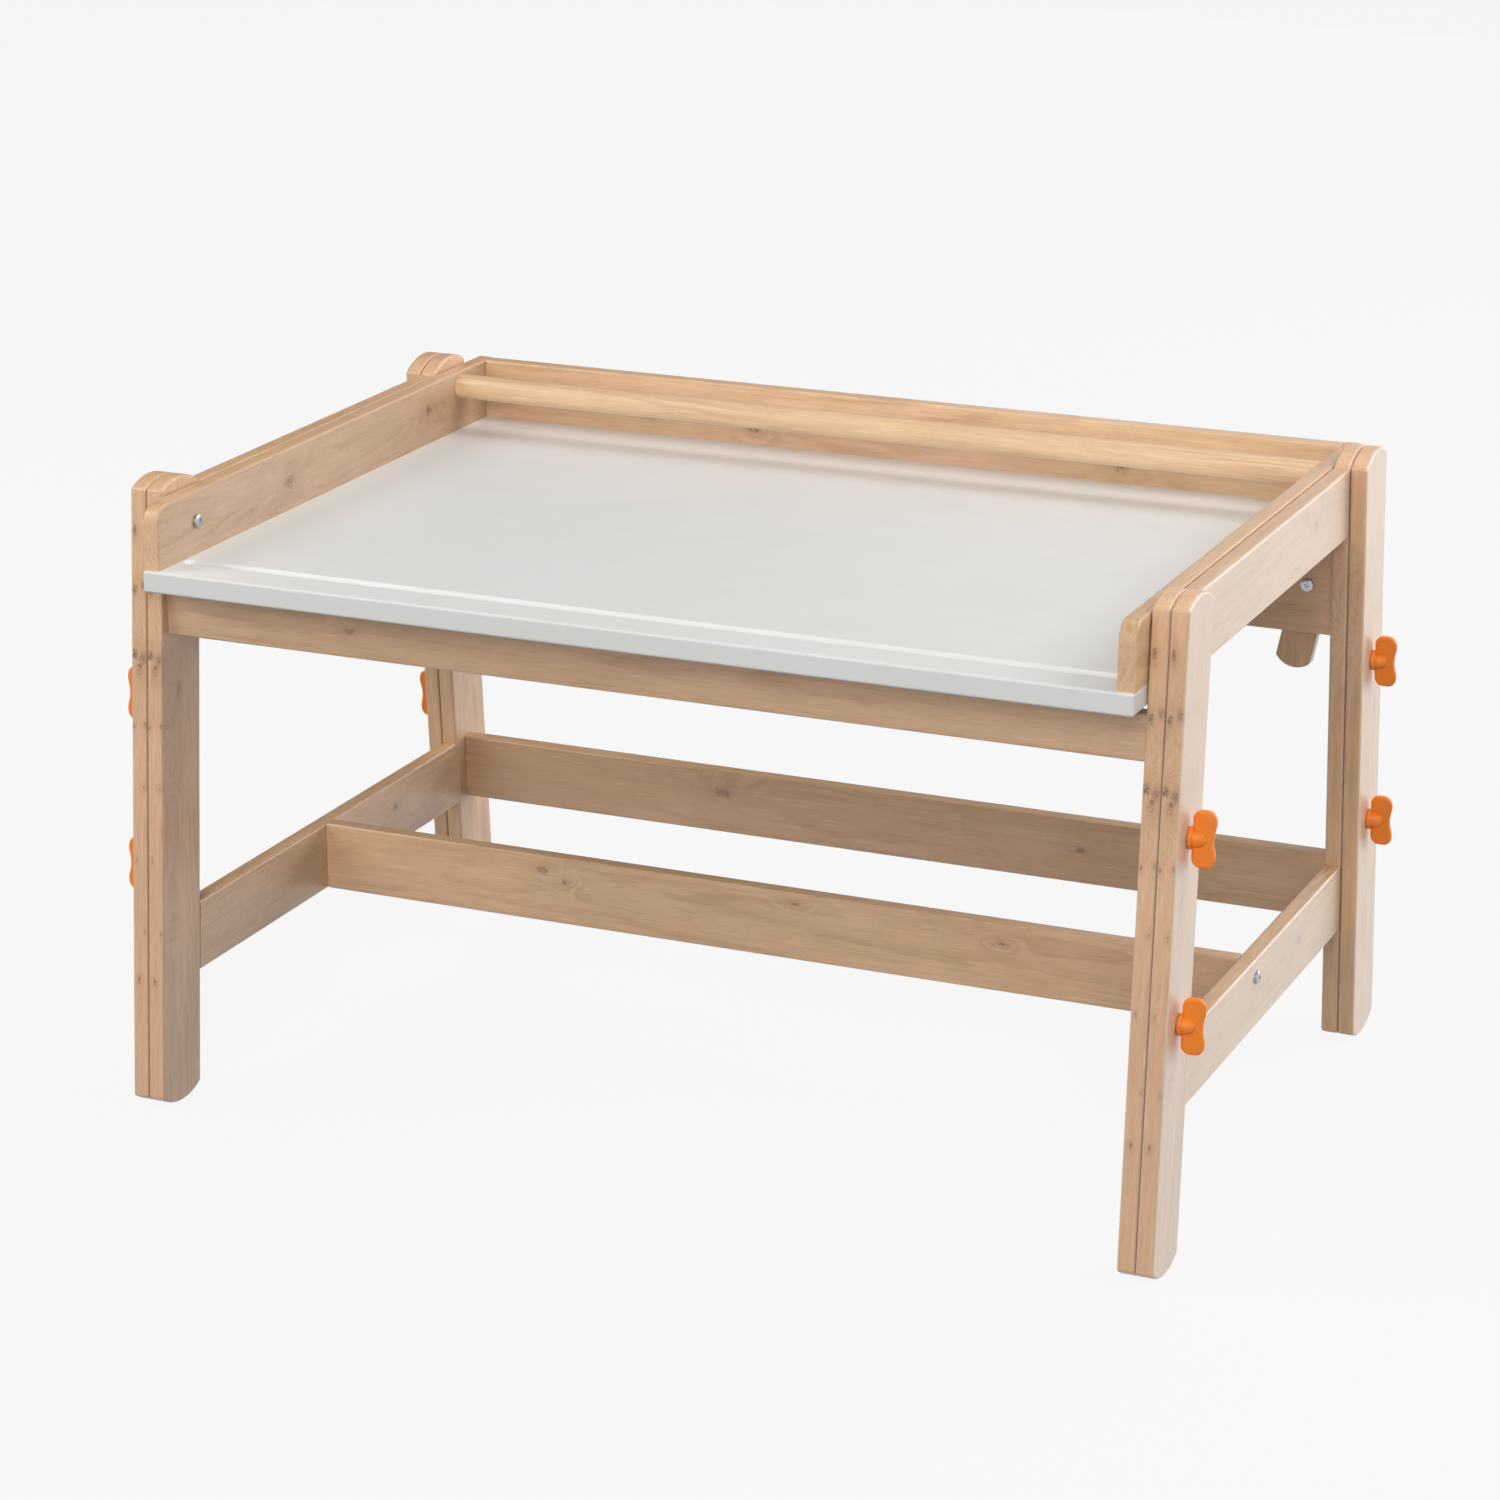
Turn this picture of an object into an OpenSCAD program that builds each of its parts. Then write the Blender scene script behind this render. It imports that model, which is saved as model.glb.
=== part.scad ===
// Low drafting table with a lift-up tray, millimetres, +Z up.
// Origin: on the floor, under the middle of the table. +X is the sitter's right, +Y the back.
// Four pairs of leg boards lean inwards by a few degrees. In each pair the inner board is part
// of the fixed frame and the outer board slides along it, held by two winged knobs.
// The tray is a white panel with two side boards, a back board and a loose roll rod. It turns
// on two bolts near its front corners and is held up by two short props behind the back apron.

/* [Overall] */
// Distance between the outside faces of the left and right outer leg boards
table_w = 891; // [700:1:1100]
// Height of the leg tops above the floor in the lowest setting
table_h = 530; // [510:1:640]
// Distance from the middle of the table to a leg's centre line, at floor level
foot_y = 273.7; // [255:0.1:330]
// Lean of every leg towards the middle of the table, degrees
lean = 4.26; // [3:0.01:5.5]

/* [Boards] */
// Thickness of the leg boards, rails and crossbars
board_t = 14.4; // [12:0.1:17]
// Width of the leg boards, rails and crossbars
board_w = 60; // [54:1:66]
// Gap between the inner and the outer board of a leg
seam = 0.3; // [0.2:0.05:0.6]
// Radius of the domed leg ends
dome_r = 55; // [40:1:90]
// Distance from the leg tops down to the top edge of the upper side rails
rail_drop = 11.5; // [9:0.5:20]
// Height of the lower edge of the lower rails and crossbars above the floor
low_rail_z = 103.7; // [90:0.1:120]
// Height of the front apron
apron_h = 37.5; // [34:0.5:38]
// Height of the back apron
back_apron_h = 82.3; // [75:0.1:95]

/* [Tray] */
// Thickness of the white panel
panel_t = 18; // [15:0.5:20]
// Height of the tray's side and back boards above the panel
wall_h = 52.5; // [40:0.5:56]
// Thickness of the tray's side and back boards
wall_t = 14; // [12:0.5:16]
// Gap between the tray and the frame on each side
tray_gap = 0.5; // [0.4:0.05:1]
// Radius of the roll rod
rod_r = 11; // [9:0.5:12]
// Width of the pencil groove
groove_w = 12; // [8:0.5:14]
// Depth of the pencil groove
groove_d = 4; // [2:0.5:6]

/* [Fittings] */
// Distance between the two knobs of a leg, and the full travel of the outer board
knob_pitch = 145; // [120:1:150]
// Height of the upper knob along the leg
knob_v = 345.75; // [330:0.25:350]
// Radius of the collar of a knob
collar_r = 8.75; // [8:0.25:10]
// Half the span of a knob's wings
wing_span = 22.5; // [20:0.5:28]
// Thickness of a knob's wings
wing_t = 4.6; // [3.5:0.1:6]
// Width of a prop
prop_w = 30; // [24:1:32]
// Reach of a prop from its bolt to its far end
prop_reach = 80; // [74:0.5:80.5]
// Angle from straight down at which the stored prop hangs
prop_lean = 12; // [10:0.5:20]

/* [Hidden] */
$fn = 64;

// sides: -1 is left or front, +1 is right or back
LEFT = -1;
RIGHT = 1;
FRONT = -1;
BACK = 1;

// board planes along X, for the right side
out_x1 = table_w / 2;
out_x0 = out_x1 - board_t;
in_x1 = out_x0 - seam;
in_x0 = in_x1 - board_t;
in_mid = (in_x0 + in_x1) / 2;

// lengths along a leg's centre line, measured from the floor
v_low = dome_r / cos(lean);
v_top = (table_h - dome_r) / cos(lean);
insert_step = knob_pitch / 2;

// heights
up_rail_z1 = table_h - rail_drop;
up_rail_z0 = up_rail_z1 - board_w;
wall_z1 = up_rail_z1 + 0.5;
panel_z1 = wall_z1 - wall_h;
panel_z0 = panel_z1 - panel_t;
apron_z1 = panel_z0 - 7.5;
apron_z0 = apron_z1 - apron_h;
back_apron_z1 = panel_z0 - 0.2;
back_apron_z0 = back_apron_z1 - back_apron_h;
low_rail_z1 = low_rail_z + board_w;

// depths
apron_y0 = -(foot_y - 10.3);
back_apron_y0 = foot_y - 41.7;
back_apron_y1 = back_apron_y0 + board_t;
mid_bar_y0 = -16.5;
back_bar_y = foot_y - 15.7;
back_bar_z = low_rail_z + 32.8;

// tray
tray_x1 = in_x0 - tray_gap;
wall_x0 = tray_x1 - wall_t;
panel_y0 = -(foot_y + 26.3);
panel_y1 = foot_y + 18.8;
side_y0 = panel_y0 + 3;
side_y1 = panel_y1 + 1.5;
back_y1 = panel_y1 - 0.5;
back_y0 = back_y1 - wall_t - 0.4;
corner_r = 16;
rod_y = foot_y - 44.7;
rod_z = wall_z1 - 13.5;
rod_end = wall_x0 + 7.5;
rod_fit = 0.08;
groove_y = panel_y0 + 39;
groove_r = (groove_w * groove_w / 4 + groove_d * groove_d) / (2 * groove_d);
groove_x = wall_x0 - 9;
pivot_z = table_h - 35.9;
pivot_y = -(foot_y - pivot_z * tan(lean));

// fittings
bolt_r = 3;
bolt_hole_r = 3.3;
head_r = 5.6;
head_h = 3;
sink_r = 6.6;
sink_d = 5;
insert_r = 4.5;
insert_l = 10;
thread_r = 3.02;
turn_fit = 0.06;
dowel_r = 4;
dowel_gap = 0.05;
dowel_in = 16;
bar_dowel_in = 9;
bar_dowel_out = 21;
nut_r = 5;
nut_l = 12;
nut_at = 40;
bolt_tip = 8;
apron_mid_y = apron_y0 + board_t / 2;
back_apron_mid_y = back_apron_y0 + board_t / 2;
mid_bar_y = mid_bar_y0 + board_t / 2;
apron_bolt_z = apron_z0 + 11;
apron_dowel_z = apron_z0 + 28;
back_apron_bolt_z = back_apron_z0 + 22;
back_apron_dowel_z = back_apron_z1 - 16;
mid_bolt_z = low_rail_z + 44;
mid_dowel_z = low_rail_z + 16;
back_bolt_s = 15;
back_dowel_s = -19;

// props
prop_x = in_x0 - 25.4;
prop_z = back_apron_z1 - 39.9;
prop_y0 = back_apron_y1 + 1;
prop_y1 = prop_y0 + board_t;
prop_tip_r = 20;

// knob
knob_gap = 0.3;
knob_h = 21;
lobe_r = 7.8;
wing_w = knob_h - 2.4;

function leg_y(s, v) = s * (foot_y - v * sin(lean));
function leg_z(v) = v * cos(lean);
// inside edge of a leg at height z, as a distance from the middle
function edge_y(z) = foot_y - z * tan(lean) - board_w / 2 / cos(lean);

// a flat shape drawn in the Y-Z plane, standing from x to x + t, on side s
module board(s, x, t) {
    if (s == RIGHT)
        translate([x, 0, 0]) rotate([90, 0, 90]) linear_extrude(t) children();
    else
        mirror([1, 0, 0]) translate([x, 0, 0]) rotate([90, 0, 90]) linear_extrude(t) children();
}

// a rod along X from x to x + l at (y, z), on side s
module bar_x(s, x, y, z, r, l) {
    if (s == RIGHT)
        translate([x, y, z]) rotate([0, 90, 0]) cylinder(h = l, r = r);
    else
        translate([-x - l, y, z]) rotate([0, 90, 0]) cylinder(h = l, r = r);
}

// a rod along Y from y to y + l at (x, z)
module bar_y(x, y, z, r, l) {
    translate([x, y, z]) rotate([-90, 0, 0]) cylinder(h = l, r = r);
}

// domed leg board, drawn in the Y-Z plane
module leg_outline(f) {
    translate([f * foot_y, 0])
        rotate(f * lean)
            intersection() {
                union() {
                    translate([0, v_low]) circle(r = dome_r);
                    translate([0, v_top]) circle(r = dome_r);
                    translate([-dome_r, v_low]) square([2 * dome_r, v_top - v_low]);
                }
                translate([-board_w / 2, -20]) square([board_w, table_h + 60]);
            }
}

// side rail between the two inner boards, ends cut to their lean
module rail_outline(z0, z1) {
    polygon([[-edge_y(z0), z0], [edge_y(z0), z0], [edge_y(z1), z1], [-edge_y(z1), z1]]);
}

// the two dowels that join one rail end to a leg, one pair of heights
module rail_dowel_pair(s, f, z0, r, extra) {
    for (z = [z0 + 10, z0 + board_w - 10])
        bar_y(s * in_mid, f * edge_y(z) - dowel_in - extra, z, r, 2 * (dowel_in + extra));
}

// where the frame's crossing boards are bolted and dowelled, [y, z] on one side
function back_bar_at(s) = [back_bar_y - s * sin(lean), back_bar_z + s * cos(lean)];
function bolt_points(f) = f == FRONT ? [[apron_mid_y, apron_bolt_z]]
    : [[back_apron_mid_y, back_apron_bolt_z], back_bar_at(back_bolt_s)];
function dowel_points(f) = f == FRONT ? [[apron_mid_y, apron_dowel_z]]
    : [[back_apron_mid_y, back_apron_dowel_z], back_bar_at(back_dowel_s)];

module inner_leg(s, f) {
    difference() {
        board(s, in_x0, board_t) leg_outline(f);
        for (k = [0:4])
            bar_x(s, in_x1 - insert_l, leg_y(f, knob_v - k * insert_step),
                leg_z(knob_v - k * insert_step), insert_r, insert_l + 1);
        rail_dowel_pair(s, f, up_rail_z0, dowel_r + dowel_gap, 0.5);
        rail_dowel_pair(s, f, low_rail_z, dowel_r + dowel_gap, 0.5);
        for (p = bolt_points(f)) {
            bar_x(s, in_x0 - 1, p[0], p[1], bolt_hole_r, board_t + 2);
            bar_x(s, in_x1 - sink_d, p[0], p[1], sink_r, sink_d + 1);
        }
        for (p = dowel_points(f))
            bar_x(s, in_x0 - 1, p[0], p[1], dowel_r + dowel_gap, bar_dowel_in + 1.5);
        if (f == FRONT)
            bar_x(s, in_x0 - 1, pivot_y, pivot_z, insert_r, insert_l + 1);
    }
}

module outer_leg(s, f) {
    difference() {
        board(s, out_x0, board_t) leg_outline(f);
        for (v = [knob_v, knob_v - knob_pitch])
            bar_x(s, out_x0 - 1, leg_y(f, v), leg_z(v), bolt_hole_r, board_t + 2);
    }
}

module upper_rail(s) {
    difference() {
        board(s, in_x0, board_t) rail_outline(up_rail_z0, up_rail_z1);
        for (f = [FRONT, BACK])
            rail_dowel_pair(s, f, up_rail_z0, dowel_r + dowel_gap, 0.5);
    }
}

module lower_rail(s) {
    difference() {
        board(s, in_x0, board_t) rail_outline(low_rail_z, low_rail_z1);
        for (f = [FRONT, BACK])
            rail_dowel_pair(s, f, low_rail_z, dowel_r + dowel_gap, 0.5);
        bar_x(s, in_x0 - 1, mid_bar_y, mid_bolt_z, bolt_hole_r, board_t + 2);
        bar_x(s, in_x0 - 1, mid_bar_y, mid_dowel_z, dowel_r + dowel_gap, bar_dowel_in + 1.5);
    }
}

// the drilling in both ends of a crossing board: bolt hole and dowel hole
module end_drilling(bolt_p, dowel_p) {
    for (s = [LEFT, RIGHT]) {
        bar_x(s, in_x0 - nut_at - bolt_tip - 1, bolt_p[0], bolt_p[1], bolt_hole_r, nut_at + bolt_tip + 2);
        bar_x(s, in_x0 - bar_dowel_out - 0.5, dowel_p[0], dowel_p[1], dowel_r + dowel_gap, bar_dowel_out + 1.5);
    }
}

// pocket for a barrel nut, sunk from the hidden face at y1 towards -Y
module nut_pockets(y1, z, tilt, r) {
    for (s = [LEFT, RIGHT])
        translate([s * (in_x0 - nut_at), y1, z]) rotate([90 + tilt, 0, 0])
            translate([0, 0, -1]) cylinder(h = nut_l + 2, r = r);
}

module front_apron() {
    color("burlywood") difference() {
        translate([-in_x0, apron_y0, apron_z0]) cube([2 * in_x0, board_t, apron_h]);
        end_drilling([apron_mid_y, apron_bolt_z], [apron_mid_y, apron_dowel_z]);
        nut_pockets(apron_y0 + board_t, apron_bolt_z, 0, nut_r);
    }
}

module back_apron() {
    color("burlywood") difference() {
        translate([-in_x0, back_apron_y0, back_apron_z0]) cube([2 * in_x0, board_t, back_apron_h]);
        end_drilling([back_apron_mid_y, back_apron_bolt_z], [back_apron_mid_y, back_apron_dowel_z]);
        nut_pockets(back_apron_y1, back_apron_bolt_z, 0, nut_r);
        for (s = [LEFT, RIGHT])
            bar_y(s * prop_x, back_apron_y0 - 1, prop_z, bolt_hole_r, board_t + 2);
    }
}

module mid_crossbar() {
    color("burlywood") difference() {
        translate([-in_x0, mid_bar_y0, low_rail_z]) cube([2 * in_x0, board_t, board_w]);
        end_drilling([mid_bar_y, mid_bolt_z], [mid_bar_y, mid_dowel_z]);
        nut_pockets(mid_bar_y0 + board_t, mid_bolt_z, 0, nut_r);
    }
}

// outer face of the back crossbar, where its nut pockets open
back_bolt = back_bar_at(back_bolt_s);
back_face_y = back_bolt[0] + board_t / 2 * cos(lean);
back_face_z = back_bolt[1] + board_t / 2 * sin(lean);

module back_crossbar() {
    color("burlywood") difference() {
        translate([-in_x0, back_bar_y, back_bar_z]) rotate([lean, 0, 0])
            translate([0, -board_t / 2, -board_w / 2]) cube([2 * in_x0, board_t, board_w]);
        end_drilling(back_bolt, back_bar_at(back_dowel_s));
        nut_pockets(back_face_y, back_face_z, lean, nut_r);
    }
}

module tray_panel() {
    color("whitesmoke") difference() {
        translate([-tray_x1, panel_y0, panel_z0]) cube([2 * tray_x1, panel_y1 - panel_y0, panel_t]);
        translate([-groove_x, groove_y, panel_z1 + groove_r - groove_d]) rotate([0, 90, 0])
            cylinder(h = 2 * groove_x, r = groove_r);
        for (s = [LEFT, RIGHT])
            translate([s * groove_x, groove_y, panel_z1 + groove_r - groove_d]) sphere(r = groove_r);
        screws(0.02);
    }
}

// one side board's outline, with its front top corner rounded
module side_outline() {
    translate([side_y0, panel_z1]) square([side_y1 - side_y0, wall_h - corner_r]);
    translate([side_y0 + corner_r, panel_z1]) square([side_y1 - side_y0 - corner_r, wall_h]);
    translate([side_y0 + corner_r, wall_z1 - corner_r]) circle(r = corner_r);
}

module tray_side(s) {
    difference() {
        board(s, wall_x0, wall_t) side_outline();
        bar_x(s, wall_x0 - 1, rod_y, rod_z, rod_r + rod_fit, rod_end - wall_x0 + 1.5);
        bar_x(s, wall_x0 - 1, pivot_y, pivot_z, bolt_r + turn_fit, wall_t + 2);
        screws(0.02);
    }
}

module tray_back() {
    color("burlywood") difference() {
        translate([-wall_x0, back_y0, panel_z1]) cube([2 * wall_x0, back_y1 - back_y0, wall_h]);
        screws(0.02);
    }
}

module roll_rod() {
    color("burlywood") translate([-rod_end, rod_y, rod_z]) rotate([0, 90, 0])
        cylinder(h = 2 * rod_end, r = rod_r);
}

// one countersunk screw pointing up from the underside of the panel
module screw(x, y, g) {
    translate([x, y, panel_z0]) {
        cylinder(h = 3, r1 = 4 + g, r2 = 1.9 + g);
        cylinder(h = 42 + g, r = 1.9 + g);
    }
}

// all the screws that hold the side and back boards to the panel, grown by g
module screws(g) {
    for (s = [LEFT, RIGHT])
        for (k = [0:3])
            screw(s * (wall_x0 + wall_t / 2), side_y0 + 25 + k * 172, g);
    for (k = [-1.5:1:1.5])
        screw(k * 230, (back_y0 + back_y1) / 2, g);
}

module tray_screws() {
    color("silver") screws(0);
}

// round head at x, growing inwards, with its socket, and the shank outwards
module pivot_bolt(s) {
    color("silver") difference() {
        union() {
            bar_x(s, wall_x0 - 0.2 - head_h, pivot_y, pivot_z, head_r, head_h);
            bar_x(s, wall_x0 - 0.2 - head_h, pivot_y, pivot_z, bolt_r,
                head_h + 0.2 + wall_t + tray_gap + insert_l - 0.4);
        }
        bar_x(s, wall_x0 - 0.2 - head_h - 1, pivot_y, pivot_z, 2, 2.6);
    }
}

module pivot_washers() {
    color("silver") for (s = [LEFT, RIGHT])
        difference() {
            bar_x(s, tray_x1 + 0.1, pivot_y, pivot_z, 8, tray_gap - 0.2);
            bar_x(s, tray_x1 - 1, pivot_y, pivot_z, bolt_hole_r, tray_gap + 2);
        }
}

// prop outline in its own plane, hanging straight down from its bolt
module prop_outline() {
    circle(r = prop_w / 2);
    intersection() {
        union() {
            translate([0, -(prop_reach - prop_tip_r)]) circle(r = prop_tip_r);
            translate([-prop_tip_r, -(prop_reach - prop_tip_r)]) square([2 * prop_tip_r, prop_reach - prop_tip_r]);
        }
        translate([-prop_w / 2, -prop_reach - 5]) square([prop_w, prop_reach + 5]);
    }
}

// the stored prop hangs with its lower end towards the middle of the table
module prop(s) {
    color("burlywood") translate([s * prop_x, prop_y1, prop_z]) rotate([90, 0, 0])
        rotate([0, 0, -s * prop_lean]) difference() {
            linear_extrude(board_t) prop_outline();
            translate([0, 0, -1]) cylinder(h = board_t + 2, r = bolt_r + turn_fit);
        }
}

module prop_bolts() {
    color("silver") for (s = [LEFT, RIGHT])
        difference() {
            union() {
                bar_y(s * prop_x, back_apron_y0 - head_h, prop_z, head_r, head_h);
                bar_y(s * prop_x, back_apron_y0 - head_h, prop_z, bolt_r, head_h + 2 * board_t + 9.5);
            }
            bar_y(s * prop_x, back_apron_y0 - head_h - 1, prop_z, 2, 2.6);
        }
}

module prop_washers() {
    color("silver") for (s = [LEFT, RIGHT], y = [back_apron_y1 + 0.1, prop_y1 + 0.1])
        difference() {
            bar_y(s * prop_x, y, prop_z, 7, 0.8);
            bar_y(s * prop_x, y - 1, prop_z, bolt_hole_r, 3);
        }
}

module prop_nuts() {
    color("silver") for (s = [LEFT, RIGHT])
        translate([s * prop_x, prop_y1 + 1.1, prop_z]) rotate([-90, 0, 0]) difference() {
            cylinder(h = 5, r = 5.8, $fn = 6);
            translate([0, 0, -1]) cylinder(h = 7, r = thread_r);
        }
}

module rail_dowels() {
    color("tan") for (s = [LEFT, RIGHT], f = [FRONT, BACK]) {
        rail_dowel_pair(s, f, up_rail_z0, dowel_r, 0);
        rail_dowel_pair(s, f, low_rail_z, dowel_r, 0);
    }
}

module bar_dowels() {
    color("tan") for (s = [LEFT, RIGHT]) {
        for (p = concat(dowel_points(FRONT), dowel_points(BACK)))
            bar_x(s, in_x0 - bar_dowel_out, p[0], p[1], dowel_r, bar_dowel_out + bar_dowel_in);
        bar_x(s, in_x0 - bar_dowel_out, mid_bar_y, mid_dowel_z, dowel_r, bar_dowel_out + bar_dowel_in);
    }
}

// socket-head bolt along X: x is the outer end of the shank, under the head
module frame_bolt(s, x, p, h) {
    tip = in_x0 - nut_at - bolt_tip;
    difference() {
        union() {
            bar_x(s, tip, p[0], p[1], bolt_r, x - tip);
            bar_x(s, x, p[0], p[1], head_r, h);
        }
        bar_x(s, x + h - 2, p[0], p[1], 2, 3);
    }
}

module frame_bolts() {
    color("silver") for (s = [LEFT, RIGHT])
        for (p = concat(bolt_points(FRONT), bolt_points(BACK)))
            frame_bolt(s, in_x1 - sink_d, p, 4);
}

module crossbar_bolts() {
    color("silver") for (s = [LEFT, RIGHT])
        frame_bolt(s, in_x1, [mid_bar_y, mid_bolt_z], head_h);
}

// barrel nut lying across its bolt
module barrel_nut(s, y1, z, tilt, p) {
    difference() {
        translate([s * (in_x0 - nut_at), y1, z]) rotate([90 + tilt, 0, 0])
            translate([0, 0, 0.6]) cylinder(h = nut_l - 0.2, r = nut_r - 0.02);
        bar_x(s, in_x0 - nut_at - 8, p[0], p[1], thread_r, 16);
    }
}

module barrel_nuts() {
    color("silver") for (s = [LEFT, RIGHT]) {
        barrel_nut(s, apron_y0 + board_t, apron_bolt_z, 0, [apron_mid_y, apron_bolt_z]);
        barrel_nut(s, back_apron_y1, back_apron_bolt_z, 0, [back_apron_mid_y, back_apron_bolt_z]);
        barrel_nut(s, mid_bar_y0 + board_t, mid_bolt_z, 0, [mid_bar_y, mid_bolt_z]);
        barrel_nut(s, back_face_y, back_face_z, lean, back_bolt);
    }
}

module inserts(s, f) {
    color("goldenrod") for (k = [0:4]) {
        v = knob_v - k * insert_step;
        difference() {
            bar_x(s, in_x1 - insert_l + 0.1, leg_y(f, v), leg_z(v), insert_r - 0.02, insert_l - 0.2);
            bar_x(s, in_x1 - insert_l - 1, leg_y(f, v), leg_z(v), thread_r, insert_l + 2);
        }
    }
}

module pivot_inserts() {
    color("goldenrod") for (s = [LEFT, RIGHT])
        difference() {
            bar_x(s, in_x0 + 0.1, pivot_y, pivot_z, insert_r - 0.02, insert_l - 0.2);
            bar_x(s, in_x0 - 1, pivot_y, pivot_z, thread_r, insert_l + 2);
        }
}

// places its children at a knob: their z points out of the leg, their y up along it
module at_knob(s, f, v) {
    mirror([s == LEFT ? 1 : 0, 0, 0])
        translate([out_x1, leg_y(f, v), leg_z(v)]) rotate([f * lean, 0, 0])
            rotate([90, 0, 90]) children();
}

// outline of the two wings, across the leg's axis and outwards
module wing_outline() {
    x0 = wing_span - lobe_r;
    y0 = knob_h - wing_w;
    difference() {
        union() {
            for (k = [-1, 1], y = [y0 + lobe_r, knob_h - lobe_r])
                translate([k * x0, y]) circle(r = lobe_r);
            translate([-x0, y0]) square([2 * x0, wing_w]);
            translate([-wing_span, y0 + lobe_r]) square([2 * wing_span, wing_w - 2 * lobe_r]);
        }
        translate([0, knob_h + 28.1]) circle(r = 30);
    }
}

module knob(s, f, v) {
    color("darkorange") at_knob(s, f, v) difference() {
        union() {
            translate([0, 0, knob_gap]) cylinder(h = 3.7, r = collar_r);
            translate([0, 0, 4]) cylinder(h = 5, r1 = 7.2, r2 = 6.4);
            translate([0, 0, 9]) cylinder(h = 3, r1 = 6.4, r2 = 4.9);
            translate([0, 0, 12]) cylinder(h = 1.8, r1 = 4.9, r2 = 2.4);
            rotate([90, 0, 90]) linear_extrude(wing_t, center = true) wing_outline();
        }
        cylinder(h = 10, r = bolt_r + 0.02);
    }
}

module stud(s, f, v) {
    color("silver") at_knob(s, f, v) translate([0, 0, -(board_t + seam / 3)])
        cylinder(h = board_t + seam / 3 + 9.8, r = bolt_r);
}

module inner_leg_fl() { color("burlywood") inner_leg(LEFT, FRONT); }
module inner_leg_fr() { color("burlywood") inner_leg(RIGHT, FRONT); }
module inner_leg_bl() { color("burlywood") inner_leg(LEFT, BACK); }
module inner_leg_br() { color("burlywood") inner_leg(RIGHT, BACK); }
module outer_leg_fl() { color("burlywood") outer_leg(LEFT, FRONT); }
module outer_leg_fr() { color("burlywood") outer_leg(RIGHT, FRONT); }
module outer_leg_bl() { color("burlywood") outer_leg(LEFT, BACK); }
module outer_leg_br() { color("burlywood") outer_leg(RIGHT, BACK); }
module upper_rail_l() { color("burlywood") upper_rail(LEFT); }
module upper_rail_r() { color("burlywood") upper_rail(RIGHT); }
module lower_rail_l() { color("burlywood") lower_rail(LEFT); }
module lower_rail_r() { color("burlywood") lower_rail(RIGHT); }
module tray_side_l() { color("burlywood") tray_side(LEFT); }
module tray_side_r() { color("burlywood") tray_side(RIGHT); }
module pivot_bolt_l() { pivot_bolt(LEFT); }
module pivot_bolt_r() { pivot_bolt(RIGHT); }
module prop_l() { prop(LEFT); }
module prop_r() { prop(RIGHT); }
module inserts_fl() { inserts(LEFT, FRONT); }
module inserts_fr() { inserts(RIGHT, FRONT); }
module inserts_bl() { inserts(LEFT, BACK); }
module inserts_br() { inserts(RIGHT, BACK); }
module knob_fl_top() { knob(LEFT, FRONT, knob_v); }
module knob_fl_low() { knob(LEFT, FRONT, knob_v - knob_pitch); }
module knob_fr_top() { knob(RIGHT, FRONT, knob_v); }
module knob_fr_low() { knob(RIGHT, FRONT, knob_v - knob_pitch); }
module knob_bl_top() { knob(LEFT, BACK, knob_v); }
module knob_bl_low() { knob(LEFT, BACK, knob_v - knob_pitch); }
module knob_br_top() { knob(RIGHT, BACK, knob_v); }
module knob_br_low() { knob(RIGHT, BACK, knob_v - knob_pitch); }
module stud_fl_top() { stud(LEFT, FRONT, knob_v); }
module stud_fl_low() { stud(LEFT, FRONT, knob_v - knob_pitch); }
module stud_fr_top() { stud(RIGHT, FRONT, knob_v); }
module stud_fr_low() { stud(RIGHT, FRONT, knob_v - knob_pitch); }
module stud_bl_top() { stud(LEFT, BACK, knob_v); }
module stud_bl_low() { stud(LEFT, BACK, knob_v - knob_pitch); }
module stud_br_top() { stud(RIGHT, BACK, knob_v); }
module stud_br_low() { stud(RIGHT, BACK, knob_v - knob_pitch); }

inner_leg_fl();
inner_leg_fr();
inner_leg_bl();
inner_leg_br();
outer_leg_fl();
outer_leg_fr();
outer_leg_bl();
outer_leg_br();
upper_rail_l();
upper_rail_r();
lower_rail_l();
lower_rail_r();
front_apron();
back_apron();
mid_crossbar();
back_crossbar();
tray_panel();
tray_side_l();
tray_side_r();
tray_back();
roll_rod();
tray_screws();
pivot_bolt_l();
pivot_bolt_r();
pivot_washers();
prop_l();
prop_r();
prop_bolts();
prop_washers();
prop_nuts();
rail_dowels();
bar_dowels();
frame_bolts();
crossbar_bolts();
barrel_nuts();
inserts_fl();
inserts_fr();
inserts_bl();
inserts_br();
pivot_inserts();
knob_fl_top();
knob_fl_low();
knob_fr_top();
knob_fr_low();
knob_bl_top();
knob_bl_low();
knob_br_top();
knob_br_low();
stud_fl_top();
stud_fl_low();
stud_fr_top();
stud_fr_low();
stud_bl_top();
stud_bl_low();
stud_br_top();
stud_br_low();
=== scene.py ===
"""Low pine drafting table with a white lift-up tray, a roll rod and orange wing knobs."""
import math

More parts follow.
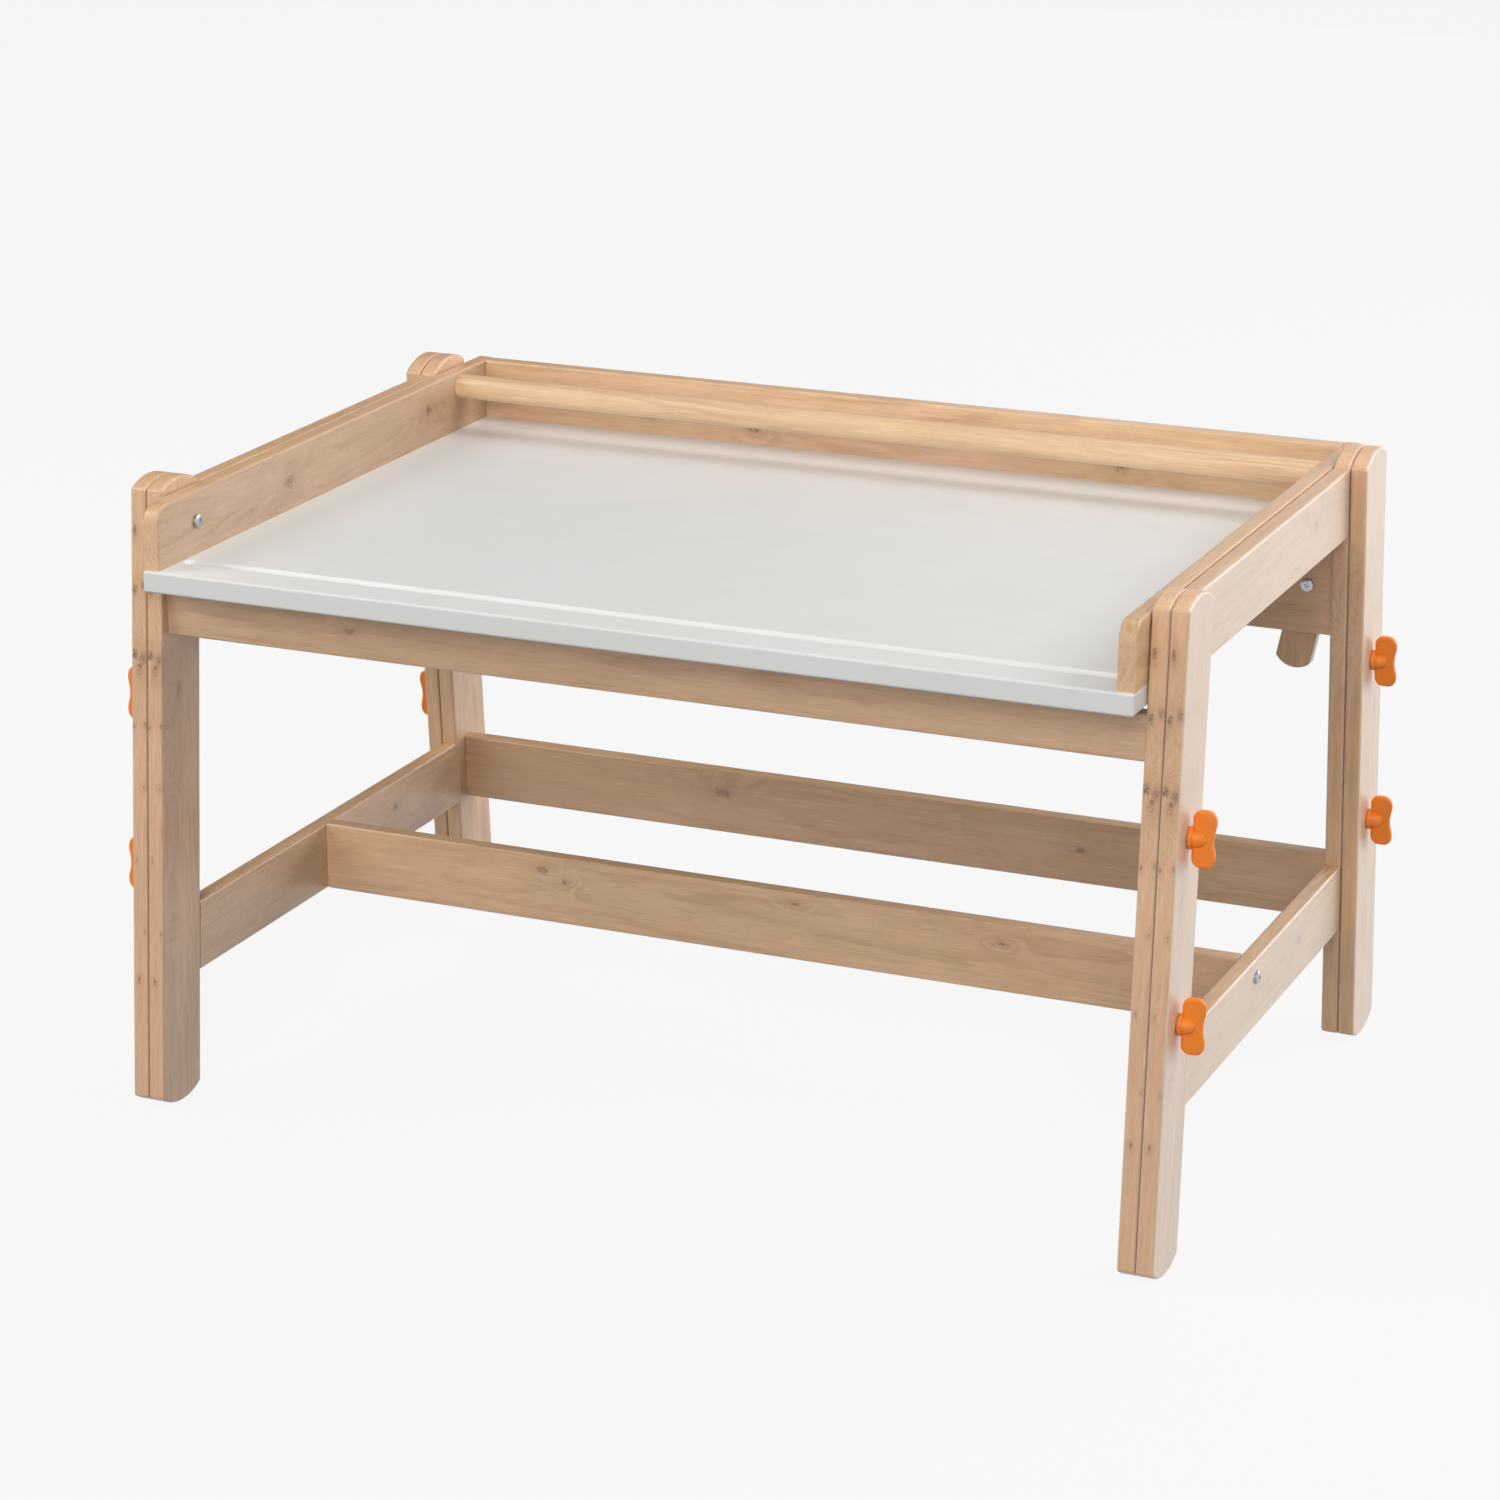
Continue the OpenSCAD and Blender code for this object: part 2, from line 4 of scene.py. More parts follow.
import bmesh
import bpy
import numpy as np
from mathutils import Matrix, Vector


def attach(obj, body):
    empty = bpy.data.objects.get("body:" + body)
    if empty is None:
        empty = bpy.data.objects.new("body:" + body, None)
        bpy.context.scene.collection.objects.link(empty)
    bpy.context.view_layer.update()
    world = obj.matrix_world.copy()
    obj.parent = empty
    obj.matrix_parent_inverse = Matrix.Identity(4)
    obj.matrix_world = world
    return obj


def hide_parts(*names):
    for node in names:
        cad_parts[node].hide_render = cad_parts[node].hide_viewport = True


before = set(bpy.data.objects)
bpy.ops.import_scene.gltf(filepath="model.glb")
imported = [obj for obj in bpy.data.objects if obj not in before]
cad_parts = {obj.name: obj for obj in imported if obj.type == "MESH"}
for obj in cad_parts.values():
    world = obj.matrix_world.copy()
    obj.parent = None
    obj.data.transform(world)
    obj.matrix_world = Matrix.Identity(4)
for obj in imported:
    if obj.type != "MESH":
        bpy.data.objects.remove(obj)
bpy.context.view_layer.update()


# ---------------------------------------------------------------- dimensions, metres
HIGH = 0.530                      # top of the legs
LEAN = math.radians(4.26)         # how far the legs lean inwards
SL, CL = math.sin(LEAN), math.cos(LEAN)
FOOT_Y = 0.2737                   # distance of the legs' middle lines from the table's middle, at the floor
T = 0.0144                        # thickness of the boards
W = 0.060                         # width of the boards
SEAM = 0.0003                     # space between the two boards of a leg
OUT_X1 = 0.4455                   # outside face of the outer leg boards
OUT_X0 = OUT_X1 - T
IN_X1 = OUT_X0 - SEAM
IN_X0 = IN_X1 - T
END_R = 0.055                     # radius of the domed ends of the leg boards
V_LOW, V_TOP = END_R / CL, (HIGH - END_R) / CL
EASE = 0.0022                     # rounding of the board edges
SAWN, SHARP = 0.0004, 1e-5        # the same at ends that are only sawn, and at ends that butt on a leg

# distances along a leg's middle line
KNOB_V, STEP_V = 0.34575, 0.0725  # upper knob, and from one insert to the next below it
KNOB_SPOTS = (("top", KNOB_V), ("low", KNOB_V - 2 * STEP_V))

# lower edges of the side rails
RAIL_Z = (("upper", 0.4585), ("lower", 0.1037))
GRAIN_SEED = {"upper": 31, "lower": 33}

# holes: the sinks over hidden bolts, the knobs' inserts, and the barrel nuts, NUT_IN from a board's end
SINK_R, SINK_DEEP = 0.0066, 0.0050
INSERT_R, INSERT_DEEP = 0.0045, 0.0101
NUT_R, NUT_DEEP, NUT_IN = 0.0050, 0.0130, 0.0400

# tray: a panel under the whole of it, two side boards, a back board, and the rod between the side boards
WALL_X0, TRAY_X1 = 0.4019, 0.4159
PANEL_Z0, PANEL_Z1, WALL_Z1 = 0.4485, 0.4665, 0.5190
PANEL_Y0, PANEL_Y1 = -0.3000, 0.2925
WALL_Y0, WALL_Y1, WALL_CORNER = -0.2970, 0.2940, 0.016
WALL_MID_Z = 0.4927               # height that the grain of the side and back boards is measured from
GROOVE_Y, GROOVE_X, GROOVE_W, GROOVE_D = -0.2610, 0.3929, 0.012, 0.004
BACK_BOARD_Y = 0.2848
ROD_Y, ROD_Z, ROD_R, ROD_END = 0.229, 0.5055, 0.0110, 0.4094
PIVOT_Y, PIVOT_Z = -0.236899, 0.4941  # the two bolts that the tray tilts on

# props: where they turn, how far they hang from the upright, and their two end radii
PROP_X, PROP_Z, PROP_Y0 = 0.391, 0.4084, 0.2474
PROP_TIP = math.radians(12)
PROP_TOP_R, PROP_FOOT_R, PROP_FOOT = 0.015, 0.020, 0.060

# wings of a knob: half their length, their round tips, their middle and half their width, and their waist
WING_H, LOBE_R, WING_MID, WING_HALF, WING_T = 0.0225, 0.0078, 0.0117, 0.0093, 0.0023
WAIST_R, WAIST_AT = 0.030, 0.0491

# bolts with visible heads
HEAD_R, HEAD_H, HEAD_FLAT, SHANK_R = 0.0056, 0.0030, 0.0016, 0.0030


# ---------------------------------------------------------------- surfaces
def piece(name, verts, faces, smooth=True):
    """A mesh object at the origin from an array of points and lists of corner numbers, all its faces
    turned outwards."""
    me = bpy.data.meshes.new(name)
    me.from_pydata(np.asarray(verts, float).tolist(), [], faces)
    bm = bmesh.new()
    bm.from_mesh(me)
    bmesh.ops.recalc_face_normals(bm, faces=bm.faces)
    bm.to_mesh(me)
    bm.free()
    me.polygons.foreach_set("use_smooth", np.full(len(me.polygons), smooth))
    ob = bpy.data.objects.new(name, me)
    bpy.context.scene.collection.objects.link(ob)
    return ob


def grid_faces(rings, n, start=0, wrap=True):
    """Four-cornered faces of a grid of rings with n points each, the rings closed round when wrap is set."""
    i, j = np.meshgrid(np.arange(rings - 1), np.arange(n if wrap else n - 1), indexing="ij")
    k = (j + 1) % n
    quads = np.stack([i * n + j, i * n + k, (i + 1) * n + k, (i + 1) * n + j], -1).reshape(-1, 4)
    return (quads + start).tolist()


def ccw(p):
    """The closed outline p, turned to run anticlockwise."""
    q = np.roll(p, -1, 0)
    return p if np.sum(p[:, 0] * q[:, 1] - q[:, 0] * p[:, 1]) > 0 else p[::-1]


def rounded(p, r, k=6):
    """Outline p with its real corners replaced by arcs: an arc's centre lies on both inward offsets by r,
    and its k points turn from one side's direction to the next one's. r is one radius, or one per corner."""
    p = np.asarray(p, float)
    r = np.broadcast_to(np.asarray(r, float), len(p))
    e = np.roll(p, -1, 0) - p
    length = np.linalg.norm(e, axis=1)
    u = e / length[:, None]
    up, lp = np.roll(u, 1, 0), np.roll(length, 1)
    turn = np.arctan2(up[:, 0] * u[:, 1] - up[:, 1] * u[:, 0], np.sum(up * u, 1))
    corner = (np.abs(turn) > math.radians(15)) & (r > 0)
    half = np.where(corner, np.tan(np.abs(turn) / 2), 1.0)
    reach = np.minimum(r * half, 0.45 * np.minimum(length, lp))
    inward = np.stack([-up[:, 1], up[:, 0]], 1)
    rad = reach / half
    centre = p - up * reach[:, None] + inward * rad[:, None]
    a = np.linspace(0, 1, k)[None, :] * turn[:, None]
    ox, oy = -inward[:, 0][:, None], -inward[:, 1][:, None]
    arc = np.stack([ox * np.cos(a) - oy * np.sin(a), ox * np.sin(a) + oy * np.cos(a)], -1)
    arc = centre[:, None] + rad[:, None, None] * arc
    arc[~corner] = p[~corner][:, None]
    keep = np.ones((len(p), k), bool)
    keep[~corner, 1:] = False
    return arc[keep]


def inset(p, d, square=None):
    """Outline p moved inwards: each side by d, or not at all where square says so of its middle, and each
    corner to where its two moved sides meet."""
    e = np.roll(p, -1, 0) - p
    n = np.stack([-e[:, 1], e[:, 0]], 1) / np.linalg.norm(e, axis=1)[:, None]
    far = np.full(len(p), float(d))
    if square is not None:
        far[square(p + e / 2)] = 0.0
    m, fm = np.roll(n, 1, 0), np.roll(far, 1)
    c = np.sum(m * n, 1)
    s = np.maximum(1 - c * c, 1e-9)
    meet = ((fm - far * c) / s)[:, None] * m + ((far - fm * c) / s)[:, None] * n
    along = ((fm + far) / 2 / (1 + np.clip(c, -0.9, 1)))[:, None] * (m + n)
    return p + np.where((c > 0.999)[:, None], along, meet)


AXES = {"x": (1, 2, 0), "y": (0, 2, 1), "z": (0, 1, 2)}


def eased_prism(name, outline, axis, t0, t1, ease=EASE, stations=(), shape=None, square=None):
    """A board: the outline swept along the axis from t0 to t1. Near each end the outline is set in by
    ease times one minus the sine of the angle, and moved along by ease times one minus the cosine,
    which rounds the edges by a quarter circle. shape may bend the grid of points, and the sides
    that square picks out stay sharp."""
    outline = ccw(outline)
    phi = np.linspace(0, math.pi / 2, 5)
    depth, ins = ease * (1 - np.cos(phi)), ease * (1 - np.sin(phi))
    t = np.concatenate([t0 + depth, np.asarray(stations, float), (t1 - depth)[::-1]])
    d = np.concatenate([ins, np.zeros(len(stations)), ins[::-1]])
    a, b, c = AXES[axis]
    grid = np.zeros((len(t), len(outline), 3))
    for k in range(len(t)):
        grid[k, :, a], grid[k, :, b] = inset(outline, d[k], square).T
        grid[k, :, c] = t[k]
    if shape is not None:
        grid = shape(grid)
    n = len(outline)
    faces = grid_faces(len(t), n)
    faces.append(list(range(n))[::-1])
    faces.append(list(range((len(t) - 1) * n, len(t) * n)))
    return piece(name, grid.reshape(-1, 3), faces)


def lathe(profile, centre, axis, steps=40):
    """Points and faces of a profile of (distance along, radius) pairs turned about an axis through centre."""
    profile = np.asarray(profile, float)
    axis = np.asarray(axis, float) / np.linalg.norm(axis)
    side = np.cross(axis, [0.3, 0.5, 0.81])
    side /= np.linalg.norm(side)
    other = np.cross(axis, side)
    a = np.linspace(0, 2 * math.pi, steps, endpoint=False)
    ring = np.cos(a)[:, None] * side + np.sin(a)[:, None] * other
    pts = np.asarray(centre) + profile[:, 0][:, None, None] * axis + profile[:, 1][:, None, None] * ring[None]
    faces = grid_faces(len(profile), steps)
    faces.append(list(range(steps))[::-1])
    faces.append(list(range((len(profile) - 1) * steps, len(profile) * steps)))
    return pts.reshape(-1, 3), faces


def round_end(t, r, e, steps=4):
    """Profile points of a shoulder at distance t with radius r, its edge a quarter circle of radius e."""
    a = np.linspace(0, math.pi / 2, steps)
    return [(t - e + e * math.sin(x), r - e + e * math.cos(x)) for x in a]


def join(parts):
    """One list of points and one list of faces from several."""
    verts, faces, n = [], [], 0
    for v, f in parts:
        verts.append(np.asarray(v))
        faces += [[i + n for i in q] for q in f]
        n += len(v)
    return np.concatenate(verts), faces


def drill(ob, cutters):
    """Cuts closed shapes out of ob, and keeps the result as its mesh."""
    if not cutters:
        return ob
    v, f = join(cutters)
    tool = piece("tool", v, f)
    mod = ob.modifiers.new("cut", "BOOLEAN")
    mod.operation = "DIFFERENCE"
    mod.solver = "EXACT"
    mod.use_self = True
    mod.object = tool
    bpy.context.view_layer.update()
    got = bpy.data.meshes.new_from_object(ob.evaluated_get(bpy.context.evaluated_depsgraph_get()))
    ob.modifiers.clear()
    ob.data = got
    bpy.data.objects.remove(tool)
    return ob


def bore(centre, axis, r, length, steps=32):
    """A plain cylinder to cut with, from centre along axis."""
    return lathe([(0, r), (length, r)], centre, axis, steps)


def finish(ob, cad, body, material, smooth_angle=32):
    """Smooth shading between shallow angles only, the material, and the piece's place in the table."""
    me = ob.data
    me.polygons.foreach_set("use_smooth", np.full(len(me.polygons), True))
    me.set_sharp_from_angle(angle=math.radians(smooth_angle))
    ob.modifiers.new("normals", "WEIGHTED_NORMAL").keep_sharp = True
    me.materials.clear()
    me.materials.append(material)
    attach(ob, body)
    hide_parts(cad)
    return ob


# ---------------------------------------------------------------- grain coordinates
def set_grain(ob, origin, along, across, seed, pith=(0.01, -0.05), tilt=(0.012, 0.02)):
    """Stores where each point lies in its board: 'board' from the board's own origin along the fibres, across
    the width and through the thickness, 'grain' the same moved by a random step, and 'pith' measured from the
    heart of the log, which leans away from the board by tilt."""
    me = ob.data
    co = np.zeros(len(me.vertices) * 3, np.float32)
    me.vertices.foreach_get("co", co)
    a = np.asarray(along, float) / np.linalg.norm(along)
    b = np.asarray(across, float) / np.linalg.norm(across)
    loc = (co.reshape(-1, 3) - np.asarray(origin)) @ np.stack([a, b, np.cross(a, b)], 1)
    step = np.random.default_rng(seed).uniform(-4, 4, 3)
    heart = loc - np.array([0, pith[0], pith[1]])
    heart[:, 1] -= tilt[0] * loc[:, 0]
    heart[:, 2] -= tilt[1] * loc[:, 0]
    for key, value in (("board", loc), ("grain", loc + step), ("pith", heart)):
        at = me.attributes.new(key, "FLOAT_VECTOR", "POINT")
        at.data.foreach_set("vector", value.astype(np.float32).ravel())


# ---------------------------------------------------------------- material helpers
class Nodes:
    """Short ways of adding shader nodes to one tree."""

    def __init__(self, tree):
        self.tree = tree

    def add(self, kind, **settings):
        node = self.tree.nodes.new(kind)
        for key, value in settings.items():
            setattr(node, key, value)
        return node

    def link(self, a, b):
        self.tree.links.new(a, b)

    def put(self, socket, value):
        if isinstance(value, bpy.types.NodeSocket):
            self.link(value, socket)
        else:
            socket.default_value = value

    def math(self, op, a, b=0.0, c=0.0):
        node = self.add("ShaderNodeMath", operation=op)
        for socket, value in zip(node.inputs, (a, b, c)):
            self.put(socket, value)
        return node.outputs[0]

    def vector(self, op, a, b=(0, 0, 0)):
        node = self.add("ShaderNodeVectorMath", operation=op)
        self.put(node.inputs[0], a)
        self.put(node.inputs[1], b)
        return node.outputs["Value" if op == "LENGTH" else "Vector"]

    def noise(self, vec, scale=1.0, detail=2.0, rough=0.5, distort=0.0):
        node = self.add("ShaderNodeTexNoise")
        self.link(vec, node.inputs["Vector"])
        node.inputs["Scale"].default_value = scale
        node.inputs["Detail"].default_value = detail
        node.inputs["Roughness"].default_value = rough
        node.inputs["Distortion"].default_value = distort
        return node.outputs["Fac"]

    def step(self, value, lo, hi, a=0.0, b=1.0):
        node = self.add("ShaderNodeMapRange", interpolation_type="SMOOTHSTEP")
        for key, v in (("Value", value), ("From Min", lo), ("From Max", hi), ("To Min", a), ("To Max", b)):
            self.put(node.inputs[key], v)
        return node.outputs["Result"]

    def mix(self, fac, a, b, mode="MIX"):
        node = self.add("ShaderNodeMix", data_type="RGBA", blend_type=mode)
        self.put(node.inputs["Factor"], fac)
        self.put(node.inputs[6], a)
        self.put(node.inputs[7], b)
        return node.outputs[2]


def group(name, inputs, outputs):
    """An empty node group with these sockets, and the helper for filling it."""
    tree = bpy.data.node_groups.new(name, "ShaderNodeTree")
    kinds = {"v": "NodeSocketVector", "f": "NodeSocketFloat", "c": "NodeSocketColor"}
    for key, kind in inputs:
        tree.interface.new_socket(key, in_out="INPUT", socket_type=kinds[kind])
    for key, kind in outputs:
        tree.interface.new_socket(key, in_out="OUTPUT", socket_type=kinds[kind])
    n = Nodes(tree)
    return tree, n, n.add("NodeGroupInput"), n.add("NodeGroupOutput")


def lin(hexa):
    """A colour written as six hexadecimal digits, in the renderer's linear values."""
    c = [int(hexa[i:i + 2], 16) / 255 for i in (0, 2, 4)]
    return tuple(x / 12.92 if x < 0.04045 else ((x + 0.055) / 1.055) ** 2.4 for x in c) + (1.0,)


def knot_group():
    """One knot: its core's darkness in broken patches, its faint halo, and how far it pushes the year rings
    aside. With d the distance from its centre in reaches, roughened by a noise, the core fades out round
    d = 1 and the halo at d = 3.4, and the push falls off as a bell curve of d."""
    tree, n, i, o = group("knot", [("Board", "v"), ("Centre", "v"), ("Spread", "v")],
                          [("Core", "f"), ("Halo", "f"), ("Push", "f")])
    board = i.outputs["Board"]
    off = n.vector("MULTIPLY", n.vector("SUBTRACT", board, i.outputs["Centre"]), i.outputs["Spread"])
    wob = n.noise(board, 130, 3, 0.6)
    d = n.vector("LENGTH", off)
    d = n.math("ADD", d, n.math("MULTIPLY", n.math("SUBTRACT", wob, 0.5), 1.7))
    patch = n.step(n.noise(board, 460, 3, 0.6), 0.42, 0.60, 0.30, 1.0)
    n.link(n.math("MULTIPLY", n.step(d, 0.15, 1.05, 1.0, 0.0), patch), o.inputs["Core"])
    n.link(n.step(d, 0.2, 3.4, 1.0, 0.0), o.inputs["Halo"])
    g = n.math("MULTIPLY", d, d)
    g = n.math("POWER", 2.718, n.math("MULTIPLY", g, -0.11))
    n.link(n.math("MULTIPLY", g, 0.011), o.inputs["Push"])
    return tree


def pine_group():
    """Pale lacquered pine: year rings round the log's heart, long fibres, short dark pores, small silky
    flecks and a soft mottle, all of them close in tone."""
    tree, n, i, o = group("pine wood",
                          [("Grain", "v"), ("Pith", "v"), ("Push", "f"),
                           ("Core", "f"), ("Halo", "f"), ("Tone", "c")],
                          [("Color", "c"), ("Roughness", "f"), ("Height", "f")])
    grain, pith = i.outputs["Grain"], i.outputs["Pith"]
    wave = n.noise(n.vector("MULTIPLY", grain, (2.6, 18, 18)), 1.0, 4, 0.6)
    r = n.vector("LENGTH", n.vector("MULTIPLY", pith, (0, 1, 1)))
    r = n.math("ADD", r, n.math("MULTIPLY", n.math("SUBTRACT", wave, 0.5), 0.028))
    r = n.math("ADD", r, i.outputs["Push"])
    saw = n.math("FRACT", n.math("MULTIPLY", r, 210))
    late = n.math("MULTIPLY", n.step(saw, 0.2, 0.85), n.step(saw, 0.9, 1.0, 1.0, 0.0))
    fibre = n.noise(n.vector("MULTIPLY", grain, (11, 480, 480)), 1.0, 3, 0.6)
    dash = n.noise(n.vector("MULTIPLY", grain, (48, 620, 620)), 1.0, 3, 0.55)
    gate = n.step(n.noise(n.vector("MULTIPLY", grain, (6, 48, 48)), 1.0, 2, 0.5), 0.40, 0.68)
    dark = n.math("MULTIPLY", n.step(dash, 0.58, 0.72), gate)
    pale = n.math("MULTIPLY", n.step(dash, 0.42, 0.30), n.math("SUBTRACT", 1.0, gate))
    mottle = n.noise(n.vector("MULTIPLY", grain, (3.4, 15, 15)), 1.0, 4, 0.6, 0.8)
    blush = n.noise(n.vector("MULTIPLY", grain, (2.1, 9, 9)), 1.0, 2, 0.5)
    silk = n.noise(n.vector("MULTIPLY", grain, (22, 75, 75)), 1.0, 3, 0.6, 0.5)
    base = n.mix(n.step(mottle, 0.32, 0.68), lin("D6B08A"), lin("C9A27B"))
    base = n.mix(n.step(blush, 0.48, 0.72, 0.0, 0.55), base, lin("D3A98C"))
    base = n.mix(n.step(silk, 0.42, 0.72, 0.0, 0.36), base, lin("B8906A"))
    base = n.mix(n.math("MULTIPLY", late, n.math("MULTIPLY_ADD", gate, 0.30, 0.08)), base, lin("A87E56"))
    base = n.mix(n.step(fibre, 0.4, 0.75, 0.0, 0.22), base, lin("A98058"))
    base = n.mix(n.math("MULTIPLY", dark, 0.40), base, lin("86603F"))
    base = n.mix(n.math("MULTIPLY", pale, 0.34), base, lin("EBCDAA"))
    base = n.mix(n.math("MULTIPLY", i.outputs["Halo"], 0.32), base, lin("A67A58"))
    base = n.mix(n.math("MULTIPLY", i.outputs["Core"], 0.95), base, lin("6C4A30"))
    base = n.mix(1.0, base, i.outputs["Tone"], "MULTIPLY")
    n.link(base, o.inputs["Color"])
    n.link(n.math("MULTIPLY_ADD", fibre, 0.16, 0.38), o.inputs["Roughness"])
    h = n.math("MULTIPLY_ADD", late, -0.3, n.math("MULTIPLY", fibre, 0.5))
    n.link(n.math("SUBTRACT", h, n.math("MULTIPLY", dark, 0.5)), o.inputs["Height"])
    return tree


KNOT, PINE = knot_group(), pine_group()


def principled(name):
    """A new material, its node helper and its shader."""
    mat = bpy.data.materials.new(name)
    mat.use_nodes = True
    n = Nodes(mat.node_tree)
    return mat, n, mat.node_tree.nodes["Principled BSDF"]


def pine(name, knots=(), tone=(1, 1, 1), edge=None, painted_sheen=0.0):
    """Pine with its own knots and its own tone. Each knot is (along, across, through, reach along, reach
    across, reach through). edge is a lighter tone for the narrow edges and ends, a painted highlight for the
    light that falls on them. On a board with such an edge, the last argument is how far a pale painted sheen
    washes out the grain of the broad faces."""
    mat, n, shader = principled(name)

    def attribute(key):
        return n.add("ShaderNodeAttribute", attribute_name=key).outputs["Vector"]

    board = attribute("board")
    total = {"Core": None, "Halo": None, "Push": None}
    for k in knots:
        node = n.add("ShaderNodeGroup", node_tree=KNOT)
        n.link(board, node.inputs["Board"])
        node.inputs["Centre"].default_value = k[:3]
        node.inputs["Spread"].default_value = [1 / x for x in k[3:]]
        for key in total:
            out = node.outputs[key]
            if total[key] is not None:
                out = n.math("ADD" if key == "Push" else "MAXIMUM", total[key], out)
            total[key] = out
    wood = n.add("ShaderNodeGroup", node_tree=PINE)
    n.link(attribute("grain"), wood.inputs["Grain"])
    n.link(attribute("pith"), wood.inputs["Pith"])
    for key, out in total.items():
        n.put(wood.inputs[key], out if out is not None else 0.0)
    wood.inputs["Tone"].default_value = (*tone, 1)
    color = wood.outputs["Color"]
    if edge:
        apart = n.add("ShaderNodeSeparateXYZ")
        n.link(board, apart.inputs[0])
        # face is 1 on the broad faces and 0 on the narrow edges and ends, which get the lighter edge tone: a
        # painted highlight
        face = n.step(n.math("ABSOLUTE", apart.outputs[2]), 0.0058, 0.0069)
        n.link(n.mix(face, (*edge, 1), (*tone, 1)), wood.inputs["Tone"])
        if painted_sheen:
            # a pale colour mixed over the broad faces: a painted sheen
            color = n.mix(n.math("MULTIPLY", face, painted_sheen), color, lin("F0E6DC"))
    n.link(color, shader.inputs["Base Color"])
    n.link(wood.outputs["Roughness"], shader.inputs["Roughness"])
    bump = n.add("ShaderNodeBump")
    bump.inputs["Strength"].default_value = 0.25
    bump.inputs["Distance"].default_value = 0.0004
    n.link(wood.outputs["Height"], bump.inputs["Height"])
    n.link(bump.outputs["Normal"], shader.inputs["Normal"])
    shader.inputs["Coat Weight"].default_value = 0.9
    shader.inputs["Coat Roughness"].default_value = 0.35
    return mat


def coordinates(n, scale=(1, 1, 1)):
    """The piece's own coordinates, stretched."""
    out = n.add("ShaderNodeTexCoord").outputs["Object"]
    return n.vector("MULTIPLY", out, scale)


def white_lacquer():
    """Smooth white lacquer with a faint orange peel and a few rubbed patches."""
    mat, n, shader = principled("white lacquer")
    co = coordinates(n)
    rub = n.noise(co, 9, 4, 0.6)
    peel = n.noise(co, 900, 2, 0.5)
    n.link(n.mix(n.step(rub, 0.35, 0.7), lin("E6E6E4"), lin("E3E3E0")), shader.inputs["Base Color"])
    n.link(n.math("MULTIPLY_ADD", rub, 0.14, 0.30), shader.inputs["Roughness"])
    bump = n.add("ShaderNodeBump")
    bump.inputs["Strength"].default_value = 0.06
    bump.inputs["Distance"].default_value = 0.0002
    n.link(peel, bump.inputs["Height"])
    n.link(bump.outputs["Normal"], shader.inputs["Normal"])
    return mat


def orange_plastic():
    """Moulded orange plastic with a fine spark-eroded grain."""
    mat, n, shader = principled("orange plastic")
    co = coordinates(n)
    spark = n.noise(co, 2600, 3, 0.6)
    flow = n.noise(co, 60, 3, 0.5)
    n.link(n.mix(flow, lin("FF8E24"), lin("FA861E")), shader.inputs["Base Color"])
    n.link(n.math("MULTIPLY_ADD", spark, 0.18, 0.34), shader.inputs["Roughness"])
    bump = n.add("ShaderNodeBump")
    bump.inputs["Strength"].default_value = 0.15
    bump.inputs["Distance"].default_value = 0.0001
    n.link(spark, bump.inputs["Height"])
    n.link(bump.outputs["Normal"], shader.inputs["Normal"])
    return mat


def metal(name, light, dark, rough):
    """Plated or turned metal with fine brushing and slightly cloudy plating."""
    mat, n, shader = principled(name)
    cloud = n.noise(coordinates(n), 220, 4, 0.6)
    brush = n.noise(coordinates(n, (1, 1, 14)), 700, 2, 0.5)
    n.link(n.mix(cloud, lin(light), lin(dark)), shader.inputs["Base Color"])
    shader.inputs["Metallic"].default_value = 1.0
    n.link(n.math("MULTIPLY_ADD", brush, 0.2, rough), shader.inputs["Roughness"])
    return mat


def raw_dowel():
    """Unfinished turned dowel: short fibres and a dull surface."""
    mat, n, shader = principled("raw dowel")
    fibre = n.noise(coordinates(n, (60, 60, 400)), 1.0, 3, 0.6)
    n.link(n.mix(fibre, lin("C9A478"), lin("A98258")), shader.inputs["Base Color"])
    n.link(n.math("MULTIPLY_ADD", fibre, 0.2, 0.6), shader.inputs["Roughness"])
    return mat


WHITE = white_lacquer()
ORANGE = orange_plastic()
ZINC = metal("zinc plated steel", "C9CBD0", "A3A7AE", 0.22)
BRASS = metal("turned brass", "D8B56A", "B08C46", 0.25)
DOWEL = raw_dowel()

# small knots on the front edge of a leg, repeated on both of its boards
EDGE_KNOTS = [
    (0.444, 0.030, 0.0045, 0.0050, 0.02, 0.0032), (0.440, 0.030, -0.0030, 0.0060, 0.02, 0.0030),
    (0.386, 0.030, -0.0034, 0.0065, 0.02, 0.0042), (0.383, 0.030, 0.0036, 0.0080, 0.02, 0.0044),
    (0.374, 0.030, 0.0004, 0.0070, 0.02, 0.0042),
    (0.328, 0.030, 0.0055, 0.0030, 0.012, 0.0015), (0.326, 0.030, -0.005, 0.0028, 0.012, 0.0014),
    (0.275, 0.030, 0.004, 0.0030, 0.012, 0.0014), (0.213, 0.030, -0.003, 0.0026, 0.012, 0.0012),
    (0.152, 0.030, 0.005, 0.0026, 0.012, 0.0012), (0.110, 0.030, -0.001, 0.0040, 0.012, 0.0016),
    (0.488, 0.030, -0.003, 0.0060, 0.012, 0.0022)]
LEFT_KNOT = (0.355, 0.004, 0, 0.014, 0.0036, 0.05)
RIGHT_KNOT = (0.300, 0.010, 0, 0.009, 0.0025, 0.05)
RAIL_KNOTS = [(0.11, 0.006, 0, 0.009, 0.0045, 0.05)]
SIDE_KNOTS = [(-0.085, -0.002, 0, 0.012, 0.008, 0.05), (0.165, 0.004, 0, 0.009, 0.006, 0.05)]
